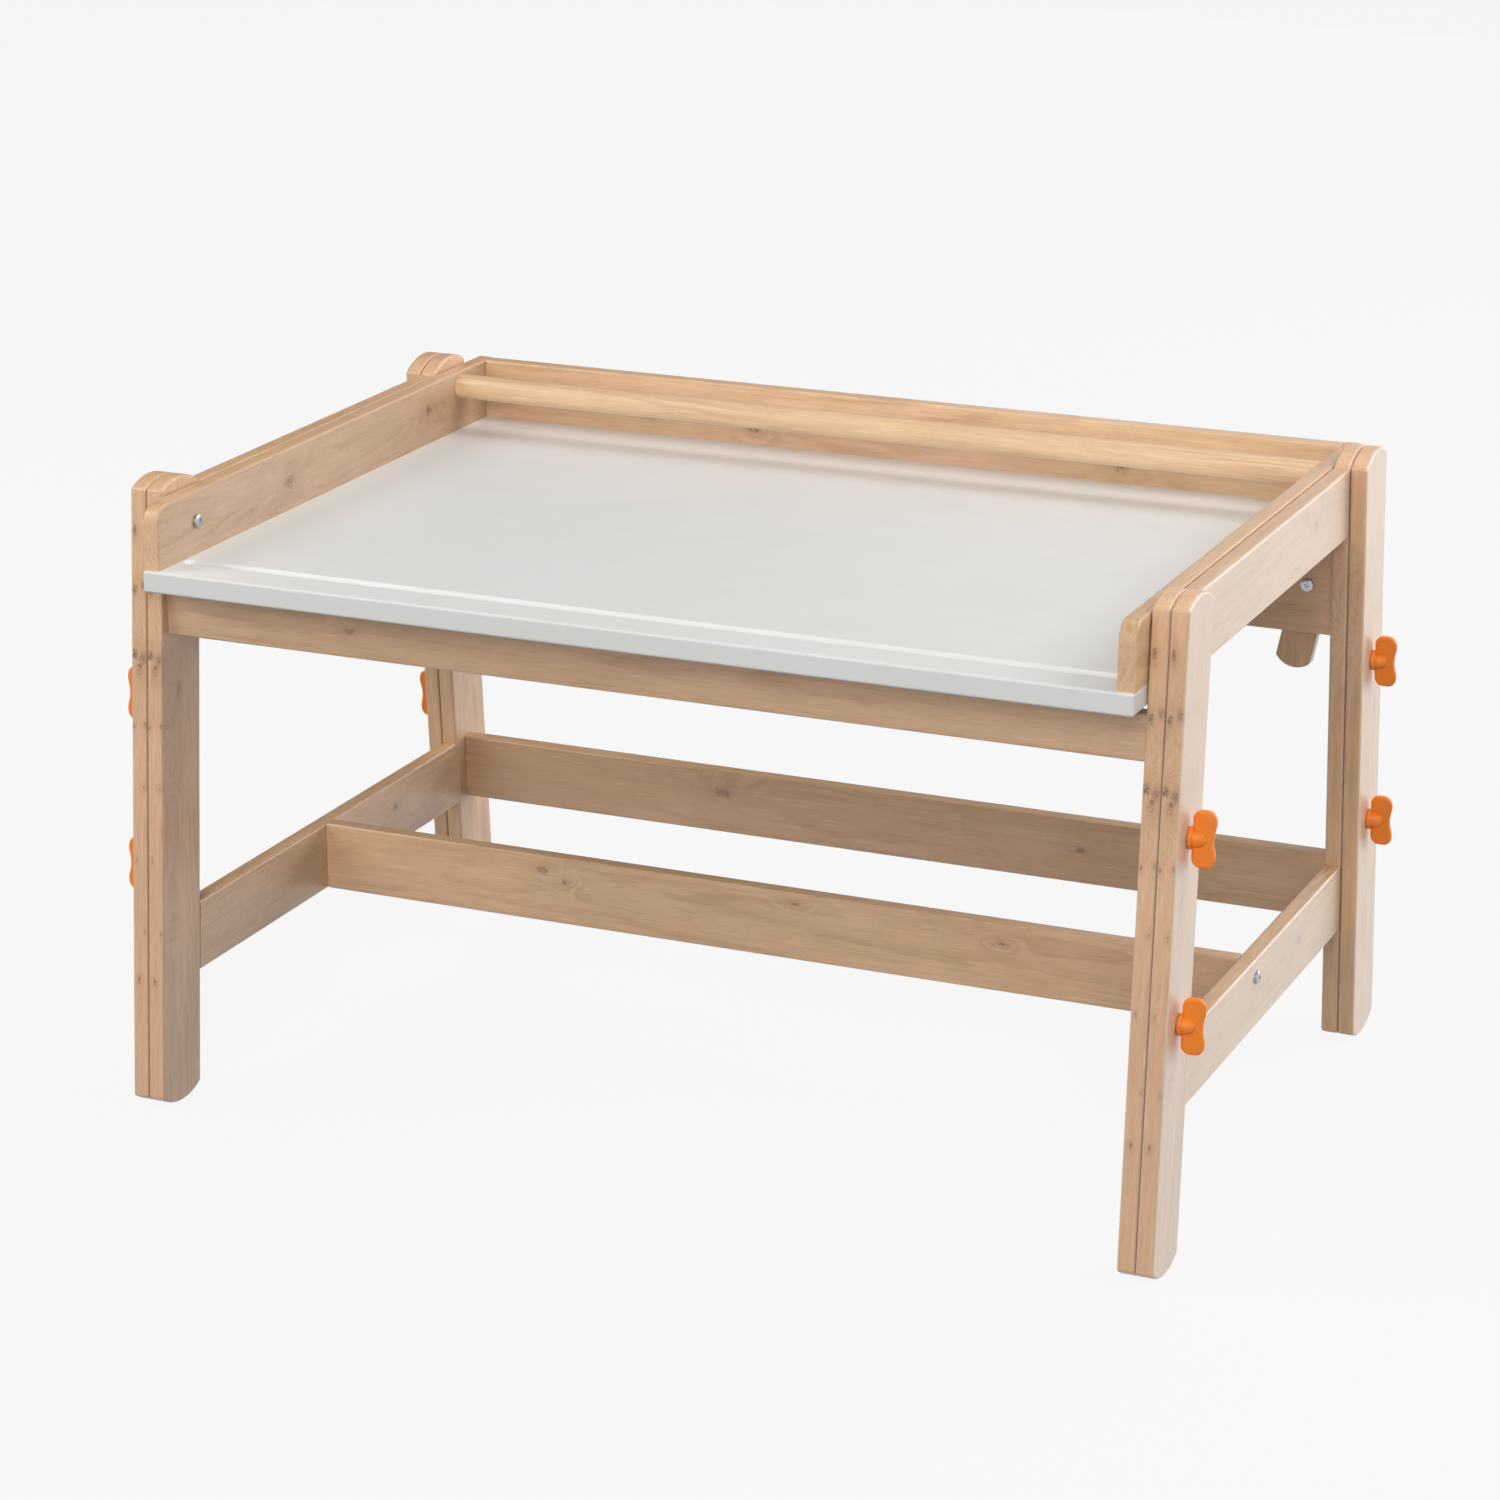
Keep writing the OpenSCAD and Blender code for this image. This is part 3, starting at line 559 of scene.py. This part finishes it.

# tones: a painted highlight that lightens the narrow edges and ends of the legs, the left rails and the left
# tray board, and a little less those of the right rails;
# and a painted sheen, a paler bluish tone and a pale mix, on the broad faces of the legs and rails on the
# right, which makes them paler than those on the left
EDGE = (1.28, 1.26, 1.24)
PAINTED_SHEEN_TONE, PAINTED_SHEEN = (1.08, 1.14, 1.24), 0.30
LEG_WOOD = {-1: pine("pine, left legs", EDGE_KNOTS + [LEFT_KNOT], (1.03, 1.02, 1.02), EDGE),
            1: pine("pine, right legs", EDGE_KNOTS + [RIGHT_KNOT], PAINTED_SHEEN_TONE, EDGE, PAINTED_SHEEN)}
RAIL_WOOD = {-1: pine("pine, left rails", RAIL_KNOTS, (1.02, 1.03, 1.06), EDGE),
             1: pine("pine, right rails", RAIL_KNOTS, PAINTED_SHEEN_TONE, (1.16, 1.16, 1.16), PAINTED_SHEEN)}
BAR_WOOD = pine("pine, middle bar", [
    (-0.205, 0.016, 0, 0.0075, 0.0040, 0.05), (-0.185, 0.009, 0, 0.0050, 0.0030, 0.05),
    (0.030, 0.020, 0, 0.0060, 0.0026, 0.05), (0.215, 0.012, 0, 0.0050, 0.0020, 0.05)], (1.16, 1.16, 1.14))
BACK_BAR_WOOD = pine("pine, back bar", [
    (-0.155, 0.010, 0, 0.011, 0.006, 0.05), (0.19, 0.002, 0, 0.008, 0.004, 0.05)], (1.06, 1.06, 1.04))
APRON_WOOD = pine("pine, front apron", [(-0.25, 0.004, 0, 0.006, 0.003, 0.05)], (1.07, 1.07, 1.07))
# the back apron's tone lightens it to make up for the shade it sits in under the tray: painted light
BACK_APRON_WOOD = pine("pine, back apron", [(0.21, 0.010, 0, 0.008, 0.004, 0.05)], (1.30, 1.28, 1.22))
# the left tray board's tone darkens it, a painted shade, and the right one's lightens it, a painted light,
# for how the light falls on each
SIDE_WOOD = {-1: pine("pine, left tray board", SIDE_KNOTS, (0.79, 0.81, 0.83), EDGE),
             1: pine("pine, right tray board", SIDE_KNOTS, (1.16, 1.16, 1.14))}
# the tray back's tone lightens it: painted light for the light thrown up onto it from the white panel
BACK_BOARD_WOOD = pine("pine, tray back", [
    (-0.235, -0.008, 0, 0.009, 0.005, 0.05), (-0.135, -0.012, 0, 0.008, 0.004, 0.05),
    (0.21, -0.012, 0, 0.009, 0.005, 0.05)], (1.30, 1.38, 1.44))
# the rod's tone lightens it: a painted highlight
ROD_WOOD = pine("pine, rod", (), (1.32, 1.42, 1.42))
PROP_WOOD = pine("pine, props", (), (1.14, 1.10, 1.04))

# ---------------------------------------------------------------- boards of the frame
LEGS = [("fl", -1, -1), ("fr", 1, -1), ("bl", -1, 1), ("br", 1, 1)]

# the long boards: middle y and z, height, lean, how far the end bolts sit above the middle, wood, the seed of
# the grain's random step, and the heart of the log
BARS = {
    "front_apron": (-0.2562, 0.42225, 0.0375, 0.0, -0.00775, APRON_WOOD, 41, (0.008, -0.03)),
    "back_apron": (0.2392, 0.40715, 0.0823, 0.0, -0.01915, BACK_APRON_WOOD, 43, (-0.02, -0.05)),
    "mid_crossbar": (-0.0093, 0.1337, W, 0.0, 0.014, BAR_WOOD, 45, (0.004, -0.035)),
    "back_crossbar": (0.258, 0.1365, W, LEAN, 0.015, BACK_BAR_WOOD, 47, (-0.006, -0.04))}
BARS_ON_LEGS = {-1: ["front_apron"], 1: ["back_apron", "back_crossbar"]}


def end_bolt(bar):
    """The y and z of a long board's end bolts, which sit off its middle along its leaning height."""
    y, z, _, lean, rise = BARS[bar][:5]
    return y - rise * math.sin(lean), z + rise * math.cos(lean)


def leg_outline(f):
    """A leaning board with domed ends: at each end an arc about a point on its axis, cut to the board's
    width."""
    a = math.asin(W / 2 / END_R)
    t = np.linspace(-a, a, 17)
    w = END_R * np.concatenate([np.sin(t), np.sin(t[::-1])])
    v = np.concatenate([V_LOW - END_R * np.cos(t), V_TOP + END_R * np.cos(t)])
    y = f * FOOT_Y + w * CL - f * v * SL
    z = v * CL + f * w * SL
    return rounded(np.stack([y, z], 1), 0.0035)


def sided(s, x0, x1):
    """The span from x0 to x1 on side s."""
    return (x0, x1) if s > 0 else (-x1, -x0)


def leg_at(f, v):
    """The point at distance v along a leg's axis, in the Y-Z plane."""
    return f * (FOOT_Y - v * SL), v * CL


for key, s, f in LEGS:
    up = (0, -f * SL, CL)
    outward = (0, f * CL, SL)
    for kind, x0, x1, body in (("inner", IN_X0, IN_X1, "frame"), ("outer", OUT_X0, OUT_X1, "leg_" + key)):
        a, b = sided(s, x0, x1)
        ob = eased_prism("board_%s_leg_%s" % (kind, key), leg_outline(f), "x", a, b)
        if kind == "inner":
            sinks = [(SINK_R, SINK_DEEP, end_bolt(bar)) for bar in BARS_ON_LEGS[f]]
            holes = [(INSERT_R, INSERT_DEEP, leg_at(f, KNOB_V - k * STEP_V)) for k in range(5)]
            drill(ob, [bore((s * (IN_X1 - deep), *spot), (s, 0, 0), r, deep + 0.003)
                       for r, deep, spot in sinks + holes])
        mid = (a + b) / 2
        set_grain(ob, (mid, f * FOOT_Y, 0), up, outward, 11 + f, pith=(0.012, -0.03 * s), tilt=(0.02, 0.03))
        finish(ob, "%s_leg_%s" % (kind, key), body, LEG_WOOD[s])


def to_legs(grid):
    """Stretches a rail, made from -1 to 1, so that its two ends follow the lean of the legs' inside edges."""
    grid[..., 1] *= FOOT_Y - grid[..., 2] * math.tan(LEAN) - W / 2 / CL
    return grid


def bar_outline(y, z, depth, height, lean=0.0, ease=EASE):
    """A rectangle depth by height about (y, z), leaning by an angle, with its corners eased by ease."""
    p = np.array([[-1, -1], [1, -1], [1, 1], [-1, 1]]) * [depth / 2, height / 2]
    c, s = math.cos(lean), math.sin(lean)
    p = np.stack([p[:, 0] * c - p[:, 1] * s, p[:, 0] * s + p[:, 1] * c], 1) + [y, z]
    return rounded(p, ease, 7)


for s, side in ((-1, "l"), (1, "r")):
    for kind, z0 in RAIL_Z:
        x, z = s * (IN_X0 + IN_X1) / 2, z0 + W / 2
        ob = eased_prism("board_%s_rail_%s" % (kind, side), bar_outline(x, z, T, W), "y", -1, 1, ease=SHARP,
                         shape=to_legs)
        set_grain(ob, (x, 0, z), (0, 1, 0), (0, 0, 1), GRAIN_SEED[kind], pith=(-0.01, -0.04 * s))
        finish(ob, "%s_rail_%s" % (kind, side), "frame", RAIL_WOOD[s])


def nut_pockets(bar):
    """Cutters for a long board's two barrel nut pockets, which open in its back face behind its end bolts."""
    lean = BARS[bar][3]
    axis = np.array([0, -math.cos(lean), -math.sin(lean)])
    start = np.array([0, *end_bolt(bar)]) - (T / 2 + 0.001) * axis
    return [bore(start + [s * (IN_X0 - NUT_IN), 0, 0], axis, NUT_R, NUT_DEEP + 0.001) for s in (-1, 1)]


for name, (y, z, height, lean, _, wood, seed, pith) in BARS.items():
    ob = eased_prism("board_" + name, bar_outline(y, z, T, height, lean), "x", -IN_X0, IN_X0, ease=SAWN)
    drill(ob, nut_pockets(name))
    up = (0, -math.sin(lean), math.cos(lean))
    set_grain(ob, (0, y, z), (1, 0, 0), up, seed, pith=pith, tilt=(0.01, 0.012))
    finish(ob, name, "frame", wood)


# ---------------------------------------------------------------- tray
def panel_groove(grid):
    """Sinks the panel's top along the pencil groove. With d the distance from the groove's middle line, which
    ends short of the side boards, the depth is a round valley for d below half the width, and the square of
    what is left of the lip beyond it."""
    x, y, z = np.moveaxis(grid, -1, 0)
    dx = np.maximum(np.abs(x) - GROOVE_X, 0)
    d = np.hypot(dx, y - GROOVE_Y)
    half, lip, sunk = GROOVE_W / 2, 0.0013, 0.0004
    r = (half * half + GROOVE_D * GROOVE_D) / (2 * GROOVE_D)
    valley = GROOVE_D - r + np.sqrt(np.maximum(r * r - np.minimum(d, half) ** 2, 0))
    edge = np.clip((half + lip - d) / lip, 0, 1)
    depth = np.where(d < half, valley + sunk, sunk * edge ** 2)
    top = z > PANEL_Z1 - 1e-5
    grid[..., 2] = np.where(top, z - depth, z)
    return grid


def panel():
    """The tray's white panel: a flat board rounded along all edges, with a pencil groove near the front."""
    ring = rounded(np.array([[PANEL_Y0, PANEL_Z0], [PANEL_Y1, PANEL_Z0], [PANEL_Y1, PANEL_Z1],
                             [PANEL_Y0, PANEL_Z1]]), 0.0024, 8)
    tops = np.concatenate([np.linspace(PANEL_Y1 - 0.01, GROOVE_Y + 0.012, 12),
                           np.linspace(GROOVE_Y + 0.0085, GROOVE_Y - 0.0085, 35), [GROOVE_Y - 0.012]])
    top = np.stack([tops, np.full(len(tops), PANEL_Z1)], 1)
    at = int(np.argmax((ring[:, 1] > PANEL_Z1 - 1e-6) & (ring[:, 0] > 0))) + 1
    ring = np.concatenate([ring[:at], top, ring[at:]])
    near = np.linspace(0, 0.0085, 18)
    xs = np.concatenate([-(GROOVE_X + near[::-1]), np.linspace(-0.37, 0.37, 9), GROOVE_X + near])
    return eased_prism("panel_tray", ring, "x", -TRAY_X1, TRAY_X1, stations=xs, shape=panel_groove)


def screw_sinks():
    """Cutters for the countersunk screw heads in the panel's underside."""
    sink = [(-0.0005, 0.00446), (0.003, 0.00192), (0.006, 0.00192)]
    spots = [(s * (WALL_X0 + 0.007), -0.272 + k * 0.172) for s in (-1, 1) for k in range(4)]
    spots += [(k * 0.230, BACK_BOARD_Y) for k in (-1.5, -0.5, 0.5, 1.5)]
    return [lathe(sink, (x, y, PANEL_Z0), (0, 0, 1), 24) for x, y in spots]


ob = drill(panel(), screw_sinks())
finish(ob, "tray_panel", "tray", WHITE, 40)

for s, side in ((-1, "l"), (1, "r")):
    corner = [(WALL_Y0 + WALL_CORNER * (1 - math.sin(t)), WALL_Z1 - WALL_CORNER * (1 - math.cos(t)))
              for t in np.linspace(0, math.pi / 2, 13)]
    outline = np.array([(WALL_Y0, PANEL_Z1), (WALL_Y1, PANEL_Z1), (WALL_Y1, WALL_Z1)] + corner)
    radii = np.zeros(len(outline))
    radii[2] = 0.0024
    a, b = sided(s, WALL_X0, TRAY_X1)
    ob = eased_prism("board_tray_side_" + side, rounded(outline, radii), "x", a, b, ease=0.0018,
                     square=lambda m: m[:, 1] < PANEL_Z1 + 1e-5)
    drill(ob, [bore((s * (WALL_X0 - 0.001), ROD_Y, ROD_Z), (s, 0, 0), ROD_R + 0.00008, 0.009, 48)])
    mid = (a + b) / 2
    set_grain(ob, (mid, 0, WALL_MID_Z), (0, 1, 0), (0, 0, 1), 51, pith=(0.006, -0.03 * s), tilt=(0.01, 0.03))
    finish(ob, "tray_side_" + side, "tray", SIDE_WOOD[s])

back_z, back_h = (PANEL_Z1 + WALL_Z1) / 2, WALL_Z1 - PANEL_Z1
ob = eased_prism("board_tray_back", bar_outline(BACK_BOARD_Y, back_z, T, back_h, ease=[0, 0, EASE, EASE]),
                 "x", -WALL_X0, WALL_X0, ease=SAWN)
set_grain(ob, (0, BACK_BOARD_Y, WALL_MID_Z), (1, 0, 0), (0, 0, 1), 53, pith=(-0.004, -0.04))
finish(ob, "tray_back", "tray", BACK_BOARD_WOOD)

rod_end = [(0, ROD_R - 0.0010), (0.0004, ROD_R - 0.0003), (0.0012, ROD_R)]
far_end = [(2 * ROD_END - t, r) for t, r in reversed(rod_end)]
ob = piece("rod_roll", *lathe(rod_end + far_end, (-ROD_END, ROD_Y, ROD_Z), (1, 0, 0), 56))
set_grain(ob, (0, ROD_Y, ROD_Z), (1, 0, 0), (0, 0, 1), 55, pith=(0.02, -0.04))
finish(ob, "roll_rod", "rod", ROD_WOOD)

# ---------------------------------------------------------------- props
def prop_outline(s):
    """A hanging prop: a half circle round its bolt, and below it an arc whose chord is as wide, with straight
    sides between them, all turned by the tip angle."""
    top = np.linspace(0, math.pi, 21)
    spread = math.asin(PROP_TOP_R / PROP_FOOT_R)
    foot = np.linspace(-spread, spread, 15)
    x = np.concatenate([PROP_TOP_R * np.cos(top), PROP_FOOT_R * np.sin(foot)])
    z = np.concatenate([PROP_TOP_R * np.sin(top), -PROP_FOOT - PROP_FOOT_R * np.cos(foot)])
    c, d = math.cos(PROP_TIP), -s * math.sin(PROP_TIP)
    return rounded(np.stack([x * c - z * d + s * PROP_X, x * d + z * c + PROP_Z], 1), 0.002)


for s, side, body in ((-1, "l", "prop_left"), (1, "r", "prop_right")):
    ob = eased_prism("board_prop_" + side, prop_outline(s), "y", PROP_Y0, PROP_Y0 + T, ease=0.0015)
    along = (math.sin(PROP_TIP) * s, 0, math.cos(PROP_TIP))
    set_grain(ob, (s * PROP_X, PROP_Y0 + T / 2, PROP_Z), along, (1, 0, 0), 61 + s)
    finish(ob, "prop_" + side, body, PROP_WOOD)


# ---------------------------------------------------------------- knobs
def wing(c, out, up, thick):
    """The wings of a knob: a flat kidney shape. At each height along the leg the section is a rounded box
    that reaches from an almost straight inside edge to an outside edge with a shallow waist, which is an arc.
    Its thickness falls off as a quarter circle over the last stretch of each tip."""
    h = np.cos(np.linspace(math.pi, 0, 49)) * WING_H
    over = np.maximum(np.abs(h) - (WING_H - LOBE_R), 0)
    reach = WING_HALF - LOBE_R + np.sqrt(np.maximum(LOBE_R ** 2 - over ** 2, 0))
    low = WING_MID - reach
    top = np.minimum(WING_MID + reach, WAIST_AT - np.sqrt(WAIST_R ** 2 - h ** 2))
    for _ in range(3):
        soft = np.convolve(top, [0.25, 0.5, 0.25], mode="valid")
        top[1:-1] = np.maximum(low[1:-1], np.minimum(top[1:-1], soft))
    a = np.linspace(0, 2 * math.pi, 32, endpoint=False)
    ca, sa = np.cos(a), np.sin(a)
    box_o = np.sign(ca) * np.abs(ca) ** 0.35
    box_t = np.sign(sa) * np.abs(sa) ** 0.62
    size = np.clip((WING_H - np.abs(h)) / 0.0028, 0, 1)
    half_t = WING_T * np.sqrt(np.maximum(1 - (1 - size) ** 2, 0))
    o = (top + low)[:, None] / 2 + (top - low)[:, None] / 2 * box_o[None]
    t = half_t[:, None] * box_t[None]
    pts = np.asarray(c) + o[..., None] * out + h[:, None, None] * up + t[..., None] * thick
    faces = grid_faces(len(h), len(a))
    faces.append(list(range(len(a)))[::-1])
    faces.append(list(range((len(h) - 1) * len(a), len(h) * len(a))))
    return pts.reshape(-1, 3), faces


def knob(name, s, f, v):
    """A wing knob: a round collar, a hub like the tip of an egg, and two wings. The hub's distance from the
    leg follows the sine of an angle, and its radius the cosine to the power 0.8."""
    y, z = leg_at(f, v)
    c = np.array([s * OUT_X1, y, z])
    out, up, thick = np.array([s, 0, 0]), np.array([0, -f * SL, CL]), np.array([0, CL, f * SL])
    collar = [(0.0003, 0.0082), (0.0006, 0.00865)] + round_end(0.0039, 0.0087, 0.0012)
    tip = [(0.0045 + 0.0093 * math.sin(x), 0.0006 + 0.0066 * max(math.cos(x), 0) ** 0.8)
           for x in np.linspace(0, math.pi / 2, 12)]
    hub = [(0.0035, 0.0072)] + tip
    parts = [lathe(collar, c, out, 40), lathe(hub, c, out, 40), wing(c, out, up, thick)]
    return piece(name, *join(parts))


for key, s, f in LEGS:
    for spot, v in KNOB_SPOTS:
        name = "knob_%s_%s" % (key, spot)
        ob = knob("plastic_" + name, s, f, v)
        finish(ob, name, name, ORANGE, 50)


# ---------------------------------------------------------------- bolts with visible heads
def bolt(start, axis, shank):
    """A pan-headed bolt: start is the middle of the head's outer face, axis points along the shank. The
    head's shoulder is a quarter of an ellipse round its flat middle."""
    shoulder = [(0.0011 * (1 - math.cos(x)), HEAD_FLAT + (HEAD_R - HEAD_FLAT) * math.sin(x))
                for x in np.linspace(0, math.pi / 2, 7)]
    stem = [(HEAD_H, HEAD_R), (HEAD_H + 1e-5, SHANK_R), (HEAD_H + shank, SHANK_R)]
    return lathe(shoulder + stem, start, axis, 40)


def cross(start, axis, up):
    """Cutter for a cross recess: two crossing bars, sunk 1.2 mm."""
    axis, up = np.asarray(axis, float), np.asarray(up, float)
    side = np.cross(axis, up)
    corners = np.array([[-1, -1], [1, -1], [1, 1], [-1, 1]])
    parts = []
    for a, b in ((up, side), (side, up)):
        base = start + 0.0022 * corners[:, :1] * a + 0.00055 * corners[:, 1:] * b
        parts.append((np.concatenate([base - 0.001 * axis, base + 0.0013 * axis]),
                      [[3, 2, 1, 0], [4, 5, 6, 7], [0, 1, 5, 4], [1, 2, 6, 5], [2, 3, 7, 6], [3, 0, 4, 7]]))
    return parts


def bolts(name, cad, spots, shank, turn):
    """One piece of the frame with a bolt at each (start, axis), their recesses turned by an angle."""
    ob = piece(name, *join([bolt(np.array(c), a, shank) for c, a in spots]))
    cuts = []
    for c, a in spots:
        crosswise = abs(a[0]) > 0.5
        up = (0, math.sin(turn), math.cos(turn)) if crosswise else (math.sin(turn), 0, math.cos(turn))
        cuts += cross(np.array(c), a, up)
    drill(ob, cuts)
    return finish(ob, cad, "frame", ZINC, 30)


for s, side in ((-1, "l"), (1, "r")):
    bolts("bolt_pivot_" + side, "pivot_bolt_" + side,
          [((s * (WALL_X0 - 0.0032), PIVOT_Y, PIVOT_Z), (s, 0, 0))], 0.0241, 0.5)
bolts("bolts_prop", "prop_bolts",
      [((s * PROP_X, 0.2290, PROP_Z), (0, 1, 0)) for s in (-1, 1)], 0.0383, 0.3)
bolts("bolts_crossbar", "crossbar_bolts",
      [((s * (IN_X1 + HEAD_H), *end_bolt("mid_crossbar")), (-s, 0, 0)) for s in (-1, 1)], 0.0624, 0.2)

# ---------------------------------------------------------------- hidden hardware keeps its exact shape
for name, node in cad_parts.items():
    if node.hide_render:
        continue
    node.data.materials.clear()
    if name.startswith(("inserts", "pivot_inserts")):
        node.data.materials.append(BRASS)
    elif name in ("rail_dowels", "bar_dowels"):
        node.data.materials.append(DOWEL)
    else:
        node.data.materials.append(ZINC)


# ---------------------------------------------------------------- floor, light and camera
def floor():
    """A plain pale floor that keeps only a breath of shadow."""
    r, z = 30.0, -0.0005
    ob = piece("floor", [(-r, -r, z), (r, -r, z), (r, r, z), (-r, r, z)], [[0, 1, 2, 3]])
    mat, n, shader = principled("pale floor")
    shader.inputs["Base Color"].default_value = lin("F4F4F4")
    shader.inputs["Roughness"].default_value = 0.9
    shader.inputs["Specular IOR Level"].default_value = 0.0
    glow = n.add("ShaderNodeEmission")
    glow.inputs["Color"].default_value = lin("F6F6F6")
    glow.inputs["Strength"].default_value = 1.02
    blend = n.add("ShaderNodeMixShader")
    blend.inputs["Fac"].default_value = 0.96
    n.link(shader.outputs["BSDF"], blend.inputs[1])
    n.link(glow.outputs["Emission"], blend.inputs[2])
    n.link(blend.outputs["Shader"], mat.node_tree.nodes["Material Output"].inputs["Surface"])
    ob.data.materials.append(mat)
    ob.visible_diffuse = False
    return ob


def backdrop():
    """Plain pale walls far behind the floor, seen by the camera only."""
    r = 29.0
    corners = [(x, y, z) for z in (-r, r) for x, y in ((-r, -r), (r, -r), (r, r), (-r, r))]
    sides = [[0, 1, 5, 4], [1, 2, 6, 5], [2, 3, 7, 6], [3, 0, 4, 7], [4, 5, 6, 7], [3, 2, 1, 0]]
    ob = piece("backdrop", corners, sides, smooth=False)
    mat, n, shader = principled("pale walls")
    glow = n.add("ShaderNodeEmission")
    glow.inputs["Color"].default_value = lin("F6F6F6")
    n.link(glow.outputs["Emission"], mat.node_tree.nodes["Material Output"].inputs["Surface"])
    mat.cycles.emission_sampling = "NONE"
    ob.data.materials.append(mat)
    for kind in ("diffuse", "glossy", "transmission", "shadow"):
        setattr(ob, "visible_" + kind, False)
    return ob


def area(name, place, aim, size, power):
    """A square soft box at place, turned to aim."""
    lamp = bpy.data.lights.new(name, "AREA")
    lamp.shape = "SQUARE"
    lamp.size = size
    lamp.energy = power
    ob = bpy.data.objects.new(name, lamp)
    ob.location = place
    ob.rotation_euler = (Vector(aim) - Vector(place)).to_track_quat("-Z", "Y").to_euler()
    ob.visible_camera = False
    bpy.context.scene.collection.objects.link(ob)
    return ob


floor()
backdrop()
world = bpy.data.worlds.new("studio")
bpy.context.scene.world = world
world.use_nodes = True
world.node_tree.nodes["Background"].inputs["Color"].default_value = (1, 1, 1, 1)
world.node_tree.nodes["Background"].inputs["Strength"].default_value = 0.085
area("back right, low", (3.2, 3.4, 0.9), (0, 0, 0.3), 2.0, 90)
area("right, high", (3.0, 0.6, 2.8), (0, 0, 0.3), 1.6, 39)
area("right", (3.6, -0.4, 1.6), (0, 0, 0.3), 2.4, 22)
area("back wall", (0.6, 5.5, 1.4), (0, 0, 0.4), 5.0, 40)
area("top", (0.9, 1.3, 3.0), (0, 0, 0.4), 2.4, 38)
area("front", (0.8, -3.6, 2.0), (0, 0, 0.3), 2.4, 88)
area("left, high", (-2.4, -1.6, 2.6), (0, 0, 0.3), 1.6, 34)
area("left", (-3.2, -1.6, 1.6), (0, 0, 0.3), 2.4, 21)

AZ, EL = 0.41153, 0.31465         # the camera's turn to the left and its tilt down, in radians
ahead = Vector((-math.sin(AZ) * math.cos(EL), math.cos(AZ) * math.cos(EL), -math.sin(EL)))
camera = bpy.data.cameras.new("camera")
camera.sensor_width = 36
camera.lens = 102.45
camera.clip_end = 100
eye = bpy.data.objects.new("camera", camera)
eye.location = (1.34147, -3.11430, 1.38443)
eye.rotation_euler = ahead.to_track_quat("-Z", "Y").to_euler()
bpy.context.scene.collection.objects.link(eye)
bpy.context.scene.camera = eye
bpy.context.scene.view_settings.view_transform = "Standard"
bpy.context.scene.view_settings.look = "None"
